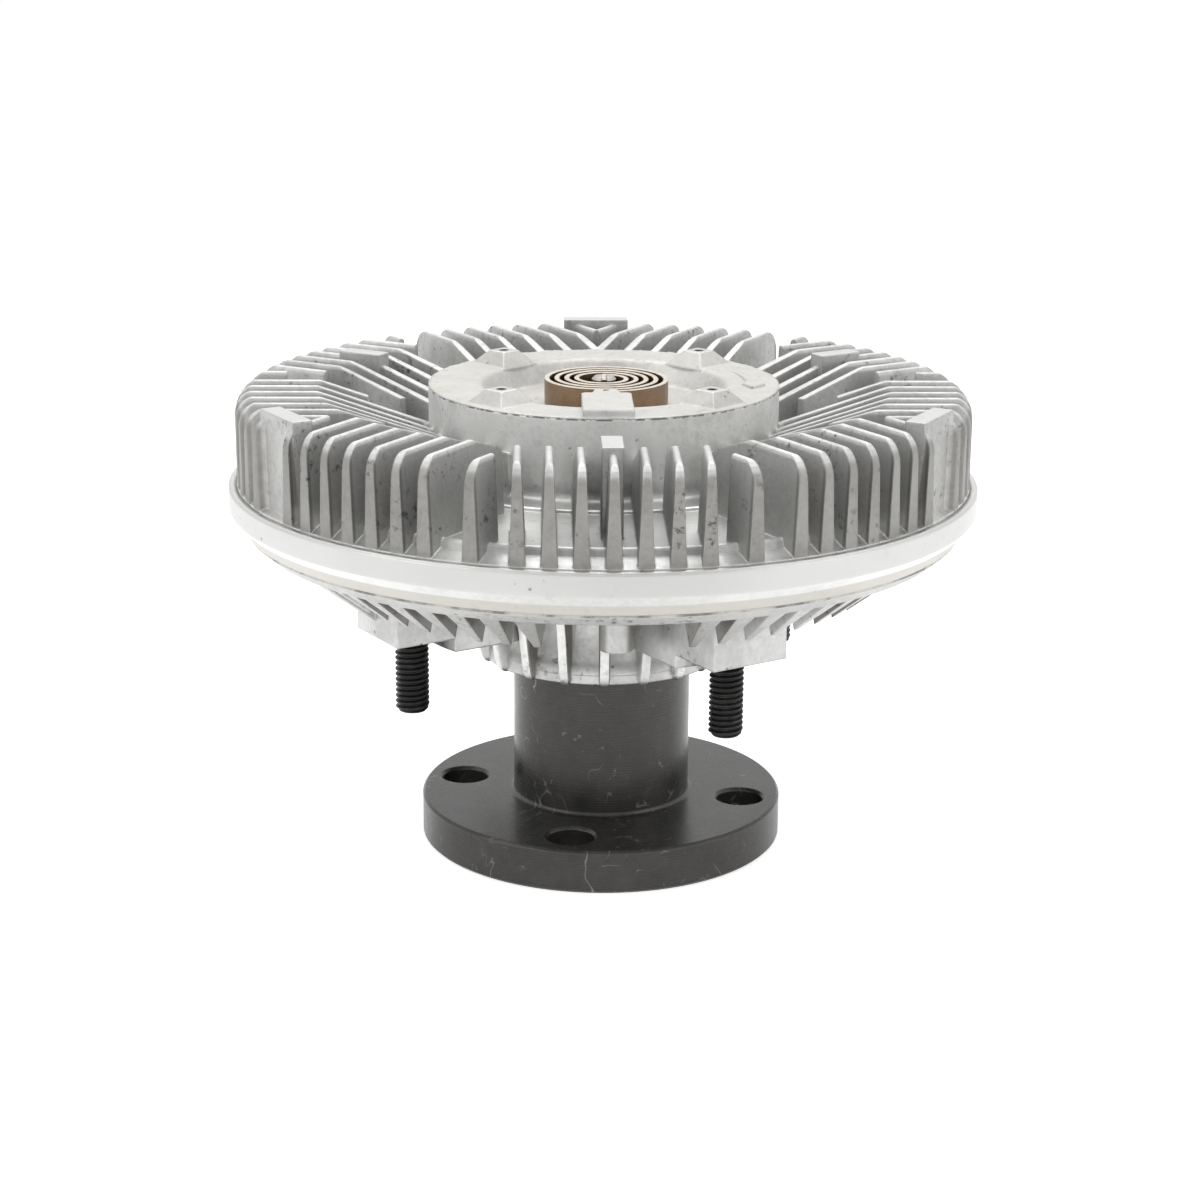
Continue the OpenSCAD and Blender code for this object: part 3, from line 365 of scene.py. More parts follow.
def strip_rows(settings, line):
    """The strip along its middle line: a loop as wide as the strip is thick and as tall as it is wide,
    with broken corners, stands square to the line at each of its points."""
    ahead = np.gradient(line, axis=0)
    ahead /= np.linalg.norm(ahead, axis=1, keepdims=True)
    half, cut = settings.coil_thickness / 2, 0.00012
    low, high = settings.coil_low, settings.coil_low + settings.coil_width
    across = np.array([half - cut, cut - half, -half, -half, cut - half, half - cut, half, half])
    level = np.array([low, low, low + cut, high - cut, high, high, high - cut, low + cut])
    x = line[:, :1] + ahead[:, 1:] * across
    y = line[:, 1:] - ahead[:, :1] * across
    cos, sin = math.cos(settings.coil_turn), math.sin(settings.coil_turn)
    return np.stack([x * cos - y * sin, x * sin + y * cos, np.broadcast_to(level, x.shape)], axis=-1)


def lip_bead(settings):
    """The rounded lip where the rim was rolled over the cover's edge: a flat oval profile carried round
    the axis, whose height and place are a sum of small sines of the angle."""
    angle, ring = circle(1080)[:, None], circle(14)
    wander, ripple, sunk, flatness = 0.00003, 0.00002, 0.00005, 0.42
    waves = ((5, 0.7, 0.4), (13, 2.2, 0.3), (37, 5.1, 0.3), (89, 1.3, 0.3), (173, 3.9, 0.25))
    rough = sum(size * np.sin(turns * angle + phase) for turns, phase, size in waves)
    half = settings.lip_width / 2
    out = settings.lip_radius + wander * rough + half * np.cos(ring)
    up = RIM_TOP - sunk + ripple * rough + flatness * half * np.sin(ring)
    return closed_ring(polar(out, angle, up))


# Shader graphs

class Graph:
    """Short calls to add nodes to a node tree and to join them."""

    def __init__(self, tree):
        self.tree = tree

    def put(self, socket, value):
        if isinstance(value, bpy.types.NodeSocket):
            self.tree.links.new(value, socket)
        elif hasattr(socket.default_value, "__len__") and len(socket.default_value) == 4 and len(value) == 3:
            socket.default_value = (*value, 1.0)
        else:
            socket.default_value = value

    def add(self, kind, inputs=None, **settings):
        node = self.tree.nodes.new("ShaderNode" + kind)
        for name, value in settings.items():
            setattr(node, name, value)
        for name, value in (inputs or {}).items():
            self.put(node.inputs[name], value)
        return node

    def math(self, operation, *values):
        node = self.add("Math", operation=operation)
        for socket, value in zip(node.inputs, values):
            self.put(socket, value)
        return node.outputs[0]

    def fold(self, operation, values):
        """One operation carried through all the values in turn."""
        result = values[0]
        for value in values[1:]:
            result = self.math(operation, result, value)
        return result

    def times(self, *values):
        return self.fold("MULTIPLY", values)

    def most(self, *values):
        return self.fold("MAXIMUM", values)

    def plus(self, *values):
        return self.fold("ADD", values)

    def minus(self, first, second):
        return self.math("SUBTRACT", first, second)

    def mix(self, factor, first, second):
        node = self.add("Mix", data_type="RGBA")
        self.put(node.inputs[0], factor)
        self.put(node.inputs[6], first)
        self.put(node.inputs[7], second)
        return node.outputs[2]

    def blend(self, factor, first, second):
        node = self.add("Mix", data_type="FLOAT")
        self.put(node.inputs[0], factor)
        self.put(node.inputs[2], first)
        self.put(node.inputs[3], second)
        return node.outputs[0]

    def ramp(self, value, low, high, bottom=0.0, top=1.0):
        """A smooth step from bottom to top while value goes from low to high."""
        node = self.add("MapRange", interpolation_type="SMOOTHSTEP", clamp=True)
        for name, entry in (("Value", value), ("From Min", low), ("From Max", high),
                            ("To Min", bottom), ("To Max", top)):
            self.put(node.inputs[name], entry)
        return node.outputs[0]

    def above(self, value, level, soft):
        """A mask that is one where value is more than level, with a soft edge."""
        return self.ramp(value, level, level + soft)

    def below(self, value, level, soft):
        """A mask that is one where value is less than level, with a soft edge."""
        return self.ramp(value, level, level - soft)

    def noise(self, vector, scale, detail=3.0, rough=0.55, distortion=0.0):
        node = self.add("TexNoise", {"Vector": vector, "Scale": scale, "Detail": detail,
                                     "Roughness": rough, "Distortion": distortion})
        return node.outputs["Fac"]

    def place(self):
        """The point on the object, its distance from the axis and its height."""
        point = self.point()
        x, y, z = self.parts(point)
        return point, self.math("SQRT", self.plus(self.times(x, x), self.times(y, y))), z

    def point(self):
        """The point on the object, in its own axes."""
        return self.add("TexCoord").outputs["Object"]

    def parts(self, vector):
        """The x, y and z of a vector."""
        return self.add("SeparateXYZ", {"Vector": vector}).outputs

    def rays(self):
        """Masks of what is seen, straight or through something clear, and of what is mirrored."""
        path = self.add("LightPath").outputs
        return self.most(path["Is Camera Ray"], path["Is Transmission Ray"]), path["Is Glossy Ray"]

    def turned(self, vector, degrees):
        """The x, y and z of a vector turned about the vertical."""
        turn = self.add("VectorRotate", {"Vector": vector, "Angle": math.radians(degrees)},
                        rotation_type="Z_AXIS")
        return self.parts(turn.outputs["Vector"])


def new_group(name, inputs, outputs):
    """A shader node group with named inputs, each with its default, and named outputs, which are numbers
    but for a normal. Returns the graph, the values given to it and the sockets of its results."""
    tree = bpy.data.node_groups.new(name, "ShaderNodeTree")
    for title, default in inputs:
        socket = tree.interface.new_socket(title, in_out="INPUT", socket_type="NodeSocketFloat")
        socket.default_value = default
    for title in outputs:
        kind = "NodeSocketVector" if title == "Normal" else "NodeSocketFloat"
        tree.interface.new_socket(title, in_out="OUTPUT", socket_type=kind)
    graph = Graph(tree)
    entry = tree.nodes.new("NodeGroupInput")
    leave = tree.nodes.new("NodeGroupOutput")
    return graph, entry.outputs, leave.inputs


def casting_skin_group():
    """Skin of a die casting: broad tone, fine sand grain, dark pits and burnt stains."""
    graph, given, result = new_group(
        "Casting skin", [("Stains", 0.5), ("Pits", 0.5)], ["Tone", "Stain", "Pit", "Height"])
    point = graph.point()
    broad = graph.noise(point, 55.0, 4.0, 0.62)
    grain = graph.noise(point, 620.0, 3.0, 0.6)
    sand = graph.noise(point, 2300.0, 2.0, 0.6)
    tone = graph.math("MULTIPLY_ADD", grain, 0.35, graph.times(broad, 0.65))
    graph.put(result["Tone"], graph.ramp(tone, 0.30, 0.68))
    patch = graph.ramp(graph.noise(point, 38.0, 3.0, 0.6, 0.4), 0.47, 0.64)
    flecks = graph.ramp(graph.noise(point, 430.0, 4.0, 0.7), 0.54, 0.66)
    graph.put(result["Stain"], graph.times(patch, flecks, given["Stains"]))
    cells = graph.add("TexVoronoi", {"Vector": point, "Scale": 260.0, "Randomness": 1.0})
    few = graph.ramp(graph.noise(point, 150.0, 1.0), 0.56, 0.62)
    dots = graph.ramp(cells.outputs["Distance"], 0.16, 0.08)
    pit = graph.times(dots, few, given["Pits"])
    graph.put(result["Pit"], pit)
    height = graph.math("MULTIPLY_ADD", sand, 0.35, graph.times(grain, 0.65))
    graph.put(result["Height"], graph.minus(height, graph.times(pit, 0.8)))
    return graph.tree


def rounded_edge_group():
    """Edges rounded by wear: the normal averaged over a small radius, and a mask where it departs
    from the flat normal."""
    graph, given, result = new_group("Rounded edge", [("Radius", 0.0005)], ["Edge", "Normal"])
    bevel = graph.add("Bevel", {"Radius": given["Radius"]}, samples=6)
    flat = graph.add("NewGeometry").outputs["Normal"]
    dot = graph.add("VectorMath", operation="DOT_PRODUCT")
    graph.put(dot.inputs[0], bevel.outputs["Normal"])
    graph.put(dot.inputs[1], flat)
    broken = graph.ramp(graph.noise(graph.point(), 420.0, 3.0), 0.30, 0.62, 0.35, 1.0)
    turn = graph.ramp(dot.outputs["Value"], 0.995, 0.86)
    graph.put(result["Edge"], graph.times(turn, broken))
    graph.put(result["Normal"], bevel.outputs["Normal"])
    return graph.tree


def lathe_mark_group():
    """Marks of a turning tool: noise along the sum of radius and height, so that rings lie on flat
    faces and round walls alike."""
    graph, given, result = new_group("Lathe marks", [("Fineness", 9000.0)], ["Tone", "Height"])
    point, radius, z = graph.place()
    along = graph.times(graph.plus(radius, z), given["Fineness"])
    lines = graph.add("TexNoise", {"W": along, "Scale": 1.0, "Detail": 3.0, "Roughness": 0.6},
                      noise_dimensions="1D").outputs["Fac"]
    drift = graph.noise(point, 130.0, 2.0)
    graph.put(result["Tone"], graph.ramp(graph.math("MULTIPLY_ADD", lines, 0.7, graph.times(drift, 0.3)),
                                         0.32, 0.68))
    graph.put(result["Height"], lines)
    return graph.tree


def scuff_group():
    """Short curved scratches: thin level lines of a broad noise, kept only where a second noise is
    high, and small rubbed spots."""
    graph, given, result = new_group("Scuffs", [("Amount", 0.5)], ["Scuff"])
    point = graph.point()
    strokes = []
    for scale, bend, width, patch, low in ((62.0, 0.5, 0.008, 75.0, 0.57), (96.0, 0.7, 0.010, 88.0, 0.58),
                                           (37.0, 0.3, 0.004, 61.0, 0.52)):
        line = graph.math("ABSOLUTE", graph.minus(graph.noise(point, scale, 2.5, 0.55, bend), 0.5))
        keep = graph.ramp(graph.noise(point, patch, 2.0), low, low + 0.10)
        strokes.append(graph.times(graph.ramp(line, width, 0.2 * width), keep))
    rubbed = graph.times(graph.ramp(graph.noise(point, 340.0, 4.0, 0.7), 0.62, 0.74),
                        graph.ramp(graph.noise(point, 55.0, 1.0), 0.52, 0.66))
    graph.put(result["Scuff"], graph.times(graph.most(*strokes, rubbed), given["Amount"]))
    return graph.tree


GROUPS = {}


def use_group(graph, title, inputs):
    """A node of the named group in a material."""
    makers = {"Casting skin": casting_skin_group, "Rounded edge": rounded_edge_group,
              "Lathe marks": lathe_mark_group, "Scuffs": scuff_group}
    if title not in GROUPS:
        GROUPS[title] = makers[title]()
    node = graph.add("Group", node_tree=GROUPS[title])
    for name, value in inputs.items():
        graph.put(node.inputs[name], value)
    return node.outputs


def new_material(name, metallic, colour):
    """A material with one Principled shader. The viewport colour follows the metal."""
    material = bpy.data.materials.new(name)
    material.use_nodes = True
    material.diffuse_color = (*colour, 1.0)
    graph = Graph(material.node_tree)
    shader = material.node_tree.nodes["Principled BSDF"]
    shader.inputs["Metallic"].default_value = metallic
    return material, graph, shader


def finish_surface(graph, shader, colour, roughness, height, depth, strength, normal=None):
    """Joins colour, roughness and a bump to the shader."""
    bump = graph.add("Bump", {"Height": height, "Strength": strength, "Distance": depth})
    if normal is not None:
        graph.put(bump.inputs["Normal"], normal)
    graph.put(shader.inputs["Base Color"], colour)
    graph.put(shader.inputs["Roughness"], roughness)
    graph.put(shader.inputs["Normal"], bump.outputs["Normal"])


def casting_material(settings, name, zones, stains, pits, matte):
    """Die-cast aluminium. zones(graph, point, radius, height) gives masks of the faces that were turned
    or milled, of the warm places, of the dark places (stains, pits and painted shade), of the dull places
    (dull skin and painted shade), of the pale places (painted light), and of where stains lie; matte is
    the mean roughness of the skin."""
    material, graph, shader = new_material(name, 1.0, settings.cast_light)
    point, radius, z = graph.place()
    masks = zones(graph, point, radius, z)
    skin = use_group(graph, "Casting skin", {"Stains": graph.times(masks["stain"], stains), "Pits": pits})
    edge = use_group(graph, "Rounded edge", {"Radius": 0.0008})
    lathe = use_group(graph, "Lathe marks", {"Fineness": 7000.0})
    colour = graph.mix(skin["Tone"], settings.cast_dark, settings.cast_light)
    colour = graph.mix(masks["warm"], colour, settings.rim_beige)
    colour = graph.mix(graph.times(edge["Edge"], settings.wear), colour, settings.turned_alloy)
    shine = graph.mix(graph.times(lathe["Tone"], 0.30), settings.turned_alloy, settings.cast_light)
    colour = graph.mix(masks["bare"], colour, shine)
    # Painted shade: the dull mask darkens the fins' sides and outer ends, the turned band and the rib sides.
    colour = graph.mix(masks["dull"], colour, settings.cast_dull_and_shade)
    # Painted light: the pale mask lightens the drum's wall, the floor between the fins, the hub's wall, the
    # rib edges and the rim's bevel.
    colour = graph.mix(graph.times(masks["pale"], graph.ramp(skin["Tone"], 0.0, 0.8, 0.55, 1.0)),
                       colour, settings.cast_painted_light)
    # Pits, stains and painted shade in the dark places: the boss holes and the painted shadow below the
    # flash.
    colour = graph.mix(graph.most(skin["Pit"], masks["dark"], skin["Stain"]), colour, settings.cast_stain_and_shade)
    rough = graph.ramp(skin["Tone"], 0.0, 1.0, matte + 0.07, matte - 0.07)
    rough = graph.blend(graph.most(skin["Stain"], masks["dark"]), rough, 0.7)
    rough = graph.blend(edge["Edge"], rough, 0.36)
    rough = graph.blend(masks["bare"], rough, graph.ramp(lathe["Tone"], 0.0, 1.0, 0.30, 0.38))
    height = graph.blend(masks["bare"], skin["Height"], graph.times(lathe["Height"], 0.25))
    finish_surface(graph, shader, colour, rough, height, 0.00022, 0.55, edge["Normal"])
    return material


def between(graph, value, low, high, soft):
    """A mask that is one while value lies between low and high, with soft ends."""
    return graph.times(graph.ramp(value, low - soft, low), graph.ramp(value, high + soft, high))


def own_normal(graph):
    """The three parts of the surface's normal in the piece's own axes, so that masks turn with it."""
    turn = graph.add("VectorTransform", {"Vector": graph.add("NewGeometry").outputs["Normal"]},
                     vector_type="NORMAL", convert_from="WORLD", convert_to="OBJECT")
    return graph.parts(turn.outputs["Vector"])


def cover_zones(graph, point, radius, z):
    """Milled tops of the clamping pads and bosses, and the upward floor between the fins made bare and
    lightened as a painted highlight; warm patches on the drum and its top; painted shade in the boss
    holes and a broken dark line below the drum's flash, partly painted shadow of the flash and partly dirt;
    the drum's steep wall lightened with painted light; painted shade on the fins' sides and on their outer
    ends, but for the flat faces of the three wide pads."""
    pad_start, pad_top, boss_top, hole_radius = 0.060, 0.13665, 0.13945, 0.00158
    drum_in, drum_out, drum_foot = 0.0495, 0.0515, 0.1150
    fin_start, fin_floor, fin_foot, fin_ends = 0.0530, 0.1140, 0.1128, 0.1030
    pads = graph.times(graph.above(z, pad_top, 0.00007), graph.above(radius, pad_start, 0.002))
    bosses = graph.above(z, boss_top, 0.0001)
    side_x, side_y, facing = own_normal(graph)
    # Painted highlight: the upward floor between the fins is made bare and lightened.
    floor = graph.times(graph.below(z, fin_floor, 0.0006), graph.ramp(facing, 0.5, 0.8))
    bare = graph.most(pads, bosses, graph.times(floor, 0.7))
    steep = graph.ramp(facing, 0.8, 0.4)
    drum = graph.times(between(graph, radius, drum_in, drum_out, 0.0005), graph.above(z, drum_foot, 0.0040))
    patches = graph.ramp(graph.noise(point, 48.0, 3.0, 0.6), 0.47, 0.64, 0.0, 0.45)
    top = graph.times(graph.below(radius, drum_out, 0.0005), graph.ramp(facing, 0.4, 0.8, 0.0, 0.5))
    warm = graph.most(graph.times(drum, steep, patches), top)
    fins = graph.times(graph.above(radius, fin_start, 0.0050), graph.above(z, fin_foot, 0.0017))
    # Painted shade on the fins' outer ends, but not on the wide pads' flat faces.
    ends = graph.times(graph.above(radius, fin_ends, 0.0012), between(graph, z, 0.1104, 0.1310, 0.0030))
    for turn in WIDE_PADS:
        along = graph.plus(graph.times(side_x, math.cos(math.radians(turn))),
                           graph.times(side_y, math.sin(math.radians(turn))))
        ends = graph.times(ends, graph.ramp(along, 0.9996, 0.9988))
    sides = graph.times(fins, steep)
    # Painted shade: the fins' sides and outer ends are darkened; the drum's top is dulled too.
    dull = graph.most(graph.times(sides, 0.15), graph.times(ends, 0.74), graph.times(top, 0.5))
    # Painted light: the drum's steep wall and the upward floor between the fins are lightened.
    pale = graph.most(graph.times(drum, steep), graph.times(floor, 0.8))
    stain = graph.most(sides, 0.25)
    # Painted shade inside the boss holes.
    x, y = [graph.minus(graph.math("ABSOLUTE", side), BOSS_REACH)
            for side in graph.turned(point, -COVER_TURN)[:2]]
    apart = graph.math("SQRT", graph.plus(graph.times(x, x), graph.times(y, y)))
    holes = graph.times(graph.below(apart, hole_radius, 0.0001), graph.below(z, boss_top + 0.00015, 0.00015))
    # A broken dark line just below the drum's flash: painted shadow of the flash, and dirt.
    broken = graph.ramp(graph.noise(point, 360.0, 4.0, 0.7), 0.45, 0.56)
    line = graph.times(between(graph, z, 0.13520, 0.13555, 0.00015),
                       between(graph, radius, 0.0496, 0.0506, 0.0003))
    dark = graph.most(holes, graph.times(line, broken, 0.75))
    return {"bare": bare, "warm": warm, "dark": dark, "dull": dull, "pale": pale, "stain": stain}


def body_zones(graph, point, radius, z):
    """Turned rim with its bevel, the faces that the fan is bolted to and the hub's end; the dull strip
    below the rim; the groove under that strip; painted shade on the sides of the ribs and on the turned
    band; painted light on the ribs' outer edges and on the hub's wall, and a painted reflection of the
    floor on the rim's bevel."""
    rim_in, strip_in, groove_in, bevel_in, band_in = 0.1040, 0.1020, 0.1018, 0.1045, 0.1069
    rim_low, strip_top, band_low = 0.0993, 0.0999, 0.1024
    hub_end, lug_face, hub_wall = 0.05575, 0.07086, 0.0345
    lug_reach, rib_top, rib_reach = 0.0122, 0.0955, 0.101
    rim = graph.times(graph.above(radius, rim_in, 0.0008), graph.above(z, rim_low, 0.0005))
    side_x, side_y, facing = own_normal(graph)
    lugs = graph.times(graph.below(z, lug_face, 0.00006), graph.ramp(facing, -0.7, -0.9))
    hub = graph.below(z, hub_end, 0.00013)
    bare = graph.most(rim, lugs, hub)
    warm = graph.times(graph.above(radius, strip_in, 0.0006), graph.below(z, strip_top, 0.0004))
    groove = graph.times(between(graph, z, 0.09585, 0.09645, 0.0002), graph.above(radius, groove_in, 0.0004))
    broken = graph.ramp(graph.noise(point, 150.0, 3.0, 0.6), 0.40, 0.66, 0.10, 0.65)
    # Painted light on the hub's wall between the ribs.
    wall = graph.times(graph.below(radius, hub_wall, 0.0010), between(graph, z, 0.0600, 0.0800, 0.0020))
    # Painted reflection of the floor on the rim's bevel.
    bevel = graph.times(between(graph, z, 0.0999, 0.1021, 0.0003), graph.above(radius, bevel_in, 0.0005))
    # Painted shade on the turned band, which faces the darker front; drift varies it.
    band = graph.times(graph.above(radius, band_in, 0.0003), graph.above(z, band_low, 0.0004))
    drift = graph.ramp(graph.noise(point, 14.0, 2.0), 0.35, 0.65, 0.02, 0.14)
    x, y = graph.parts(point)[:2]
    across = graph.minus(graph.times(side_y, x), graph.times(side_x, y))
    across = graph.math("DIVIDE", graph.math("ABSOLUTE", across), radius)
    off_lug = graph.math("MINIMUM", *[graph.math("ABSOLUTE", side)
                                      for side in graph.turned(point, -STUD_TURN)[:2]])
    # Painted shade on the sides of the web's ribs, away from the lugs.
    ribs = graph.times(graph.ramp(across, 0.45, 0.75), graph.above(off_lug, lug_reach, 0.0006),
                       graph.below(z, rib_top, 0.0010), graph.below(radius, rib_reach, 0.001))
    # The dull mask here is painted shade on the turned band and the rib sides.
    dull = graph.most(graph.times(band, drift), graph.times(ribs, 0.92))
    # Painted light on the outer edges of the hub's ribs.
    edges = graph.times(graph.ramp(across, 0.5, 0.3), between(graph, radius, 0.0364, 0.0430, 0.0004),
                        between(graph, z, 0.0560, 0.0815, 0.0010))
    # The pale mask here is painted light and a painted reflection of the floor.
    pale = graph.most(bevel, graph.times(wall, 0.9), edges)
    stain = graph.ramp(radius, 0.1035, 0.1025, 0.15, 1.0)
    return {"bare": bare, "warm": warm, "dark": graph.times(groove, broken), "dull": dull, "pale": pale,
            "stain": stain}


def shaft_material(settings):
    """Blackened turned steel with fine rings, short scratches and rubbed edges."""
    material, graph, shader = new_material("Blackened shaft steel", 0.55, settings.shaft_steel)
    lathe = use_group(graph, "Lathe marks", {"Fineness": 5200.0})
    scuff = use_group(graph, "Scuffs", {"Amount": 0.75})
    edge = use_group(graph, "Rounded edge", {"Radius": 0.0005})
    blotch = graph.noise(graph.point(), 70.0, 4.0, 0.65)
    dull = [0.80 * value for value in settings.shaft_steel]
    colour = graph.mix(graph.ramp(blotch, 0.20, 0.80), dull, settings.shaft_steel)
    colour = graph.mix(graph.times(lathe["Tone"], 0.07), colour, settings.shaft_scuff)
    colour = graph.mix(graph.times(scuff["Scuff"], 0.8), colour, settings.shaft_scuff)
    colour = graph.mix(graph.times(edge["Edge"], 0.30), colour, settings.shaft_scuff)
    rough = graph.ramp(lathe["Tone"], 0.0, 1.0, 0.22, 0.32)
    rough = graph.blend(scuff["Scuff"], rough, 0.55)
    finish_surface(graph, shader, colour, rough, lathe["Height"], 0.00003, 0.5, edge["Normal"])
    return material


def stud_material(settings):
    """Black oxide with patches of grey."""
    material, graph, shader = new_material("Black oxide studs", 0.35, settings.stud_black)
    point = graph.point()
    grain = graph.noise(point, 900.0, 3.0, 0.6)
    patch = graph.noise(point, 160.0, 3.0, 0.6)
    grey = [value * 3.2 + 0.01 for value in settings.stud_black]
    colour = graph.mix(graph.ramp(patch, 0.48, 0.72, 0.0, 0.8), settings.stud_black, grey)
    rough = graph.ramp(grain, 0.3, 0.7, 0.34, 0.50)
    finish_surface(graph, shader, colour, rough, grain, 0.00006, 0.5)
    return material


def strip_material(settings):
    """Bimetal strip: rolled brown faces with fine lengthwise lines, and pale slit edges, told apart by
    whether the surface faces up or sideways."""
    material, graph, shader = new_material("Bimetal strip", 1.0, settings.strip_face)
    point = graph.point()
    z, facing = graph.parts(point)[2], own_normal(graph)[2]
    slit = graph.ramp(graph.math("ABSOLUTE", facing), 0.4, 0.8)
    rolled = graph.add("TexNoise", {"W": graph.times(z, 9000.0), "Scale": 1.0, "Detail": 3.0},
                       noise_dimensions="1D").outputs["Fac"]
    cloud = graph.noise(point, 210.0, 4.0, 0.6)
    deep = [0.66 * value for value in settings.strip_face]
    face = graph.mix(graph.ramp(graph.math("MULTIPLY_ADD", rolled, 0.5, graph.times(cloud, 0.5)),
                                0.35, 0.65), deep, settings.strip_face)
    tarnish = [0.78 * value for value in settings.strip_edge]
    rim = graph.mix(graph.ramp(graph.noise(point, 520.0, 3.0), 0.35, 0.7), settings.strip_edge, tarnish)
    colour = graph.mix(slit, face, rim)
    rough = graph.blend(slit, graph.ramp(cloud, 0.3, 0.7, 0.34, 0.46), 0.28)
    finish_surface(graph, shader, colour, rough, rolled, 0.00003, 0.5)
    return material


def steel_material(name, colour, low_rough, high_rough, fineness):
    """Ground or rolled bright steel with fine rings and a faint cloud."""
    material, graph, shader = new_material(name, 1.0, colour)
    lathe = use_group(graph, "Lathe marks", {"Fineness": fineness})
    edge = use_group(graph, "Rounded edge", {"Radius": 0.0003})
    cloud = graph.noise(graph.point(), 90.0, 3.0)
    dull = [0.8 * value for value in colour]
    tint = graph.mix(graph.math("MULTIPLY_ADD", lathe["Tone"], 0.5, graph.times(cloud, 0.5)), dull, colour)
    finish_surface(graph, shader, tint, graph.ramp(lathe["Tone"], 0.0, 1.0, low_rough, high_rough),
                   lathe["Height"], 0.00002, 0.5, edge["Normal"])
    return material


def bronze_material(name, colour):
    """Sintered bronze: pores and a mottled tone."""
    material, graph, shader = new_material(name, 1.0, colour)
    skin = use_group(graph, "Casting skin", {"Stains": 0.3, "Pits": 0.8})
    dark = [0.55 * value for value in colour]
    tint = graph.mix(skin["Tone"], dark, colour)
    tint = graph.mix(skin["Pit"], tint, [0.2 * value for value in colour])
    rough = graph.ramp(skin["Tone"], 0.0, 1.0, 0.5, 0.36)
    finish_surface(graph, shader, tint, rough, skin["Height"], 0.00008, 0.5)
    return material


def rubber_material(name, colour):
    """Moulded black rubber with a bloom of dust."""
    material, graph, shader = new_material(name, 0.0, colour)
    point = graph.point()
    bloom = graph.noise(point, 240.0, 4.0, 0.65)
    grain = graph.noise(point, 1800.0, 2.0)
    dusty = [value + 0.03 for value in colour]
    tint = graph.mix(graph.ramp(bloom, 0.4, 0.75), colour, dusty)
    finish_surface(graph, shader, tint, graph.ramp(bloom, 0.3, 0.7, 0.55, 0.75), grain, 0.00004, 0.5)
    return material


def coat(material, *nodes):
    """Gives nodes of the frame their finish."""
    for node in nodes:
        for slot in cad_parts[node].material_slots:
            slot.material = material


# Operators

class CLUTCH_OT_fan_studs(Operator):
    """Cut the rolled thread on the four fan studs"""

    bl_idname = "clutch.fan_studs"
    bl_label = "Fan Studs"

    def execute(self, context):
        settings = context.scene.clutch_detail
        reach = settings.stud_circle / 2
        parts = [threaded_stud(settings, reach * math.cos(turn), reach * math.sin(turn))
                 for turn in settings.stud_turn + circle(settings.stud_count)]
        piece = make_piece("fan_stud_threads", parts, "housing",
                           stud_material(context.scene.clutch_finish), smooth_angle=60.0)
        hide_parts("fan_studs")
        return {"FINISHED"}


class CLUTCH_OT_cast_marks(Operator):
    """Raise the arrow and the parting flash on the drum, the rolled lip and the edges of the hub's ribs"""

    bl_idname = "clutch.cast_marks"
    bl_label = "Cast Marks"

    def execute(self, context):
        settings, finish = context.scene.clutch_detail, context.scene.clutch_finish
        marks = casting_material(finish, "Cast marks", cover_zones, 0.5, 0.4, COVER_MATTE)
        lip = casting_material(finish, "Rolled lip", body_zones, 0.3, 0.3, BODY_MATTE)
        hub = casting_material(finish, "Hub casting", body_zones, 0.6, 0.6, BODY_MATTE)
        ribs = [hub_rib_edge(settings, turn) for turn in settings.hub_rib_turn + circle(settings.hub_ribs)]
        for name, parts, material, smooth_angle in (
                ("rotation_arrow", [turn_arrow(settings)], marks, 30.0),
                ("drum_flash", [flash_ridge(settings)], marks, 60.0),
                ("rolled_lip_bead", [lip_bead(settings)], lip, 60.0),
                ("hub_rib_edges", ribs, hub, 35.0),
                ("hub_flare", [hub_flare()], hub, 35.0)):
            make_piece(name, parts, "housing", material, smooth_angle)
        return {"FINISHED"}


class CLUTCH_OT_castings(Operator):
    """Finish the two aluminium castings of the housing and the rotor"""

    bl_idname = "clutch.castings"
    bl_label = "Castings"

    def execute(self, context):
        settings = context.scene.clutch_finish
        cover = casting_material(settings, "Cover casting", cover_zones, 0.75, 0.45, COVER_MATTE)
        body = casting_material(settings, "Body casting", body_zones, 0.6, 0.6, BODY_MATTE)
        coat(cover, "front_cover")
        coat(body, "rear_body")
        coat(steel_material("Turned rotor alloy", settings.turned_alloy, 0.30, 0.42, 6000.0), "rotor")
        return {"FINISHED"}


class CLUTCH_OT_shaft(Operator):
    """Blacken the flanged shaft"""

    bl_idname = "clutch.shaft"
    bl_label = "Flanged Shaft"

    def execute(self, context):
        coat(shaft_material(context.scene.clutch_finish), "flange_shaft")
        return {"FINISHED"}


class CLUTCH_OT_thermostat(Operator):
    """Wind the bimetal coil, so that its inner end turns with the valve, and finish the valve's parts"""

    bl_idname = "clutch.thermostat"
    bl_label = "Coil and Valve"

    def execute(self, context):
        self.wind_coil(context.scene.clutch_detail, strip_material(context.scene.clutch_finish))
        coat(steel_material("Bright valve steel", (0.50, 0.48, 0.45), 0.24, 0.36, 8000.0),
             "valve_shaft", "valve_arm", "partition_plate", "plate_screws")
        coat(bronze_material("Sintered bronze", (0.55, 0.38, 0.20)),
             "valve_bush", "wiper_block", "bearing_cage")
        return {"FINISHED"}

    def wind_coil(self, settings, material):
        """The outer turns stay with the housing, the end in the slot turns with the valve, and the
        innermost half turn lies between them on no body."""
        line, first, last = strip_line(settings)
        rows = strip_rows(settings, line)
        pieces = []
        for name, part, body in (("bimetal_outer_turns", rows[:first + 1], "housing"),
                                 ("bimetal_inner_turn", rows[first:last + 1], None),
                                 ("bimetal_tang", rows[last:], "valve")):
            pieces.append(make_piece(name, [closed_tube(part)], body, material))
        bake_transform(pieces[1])
        for piece in pieces:
            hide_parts("bimetal_coil")


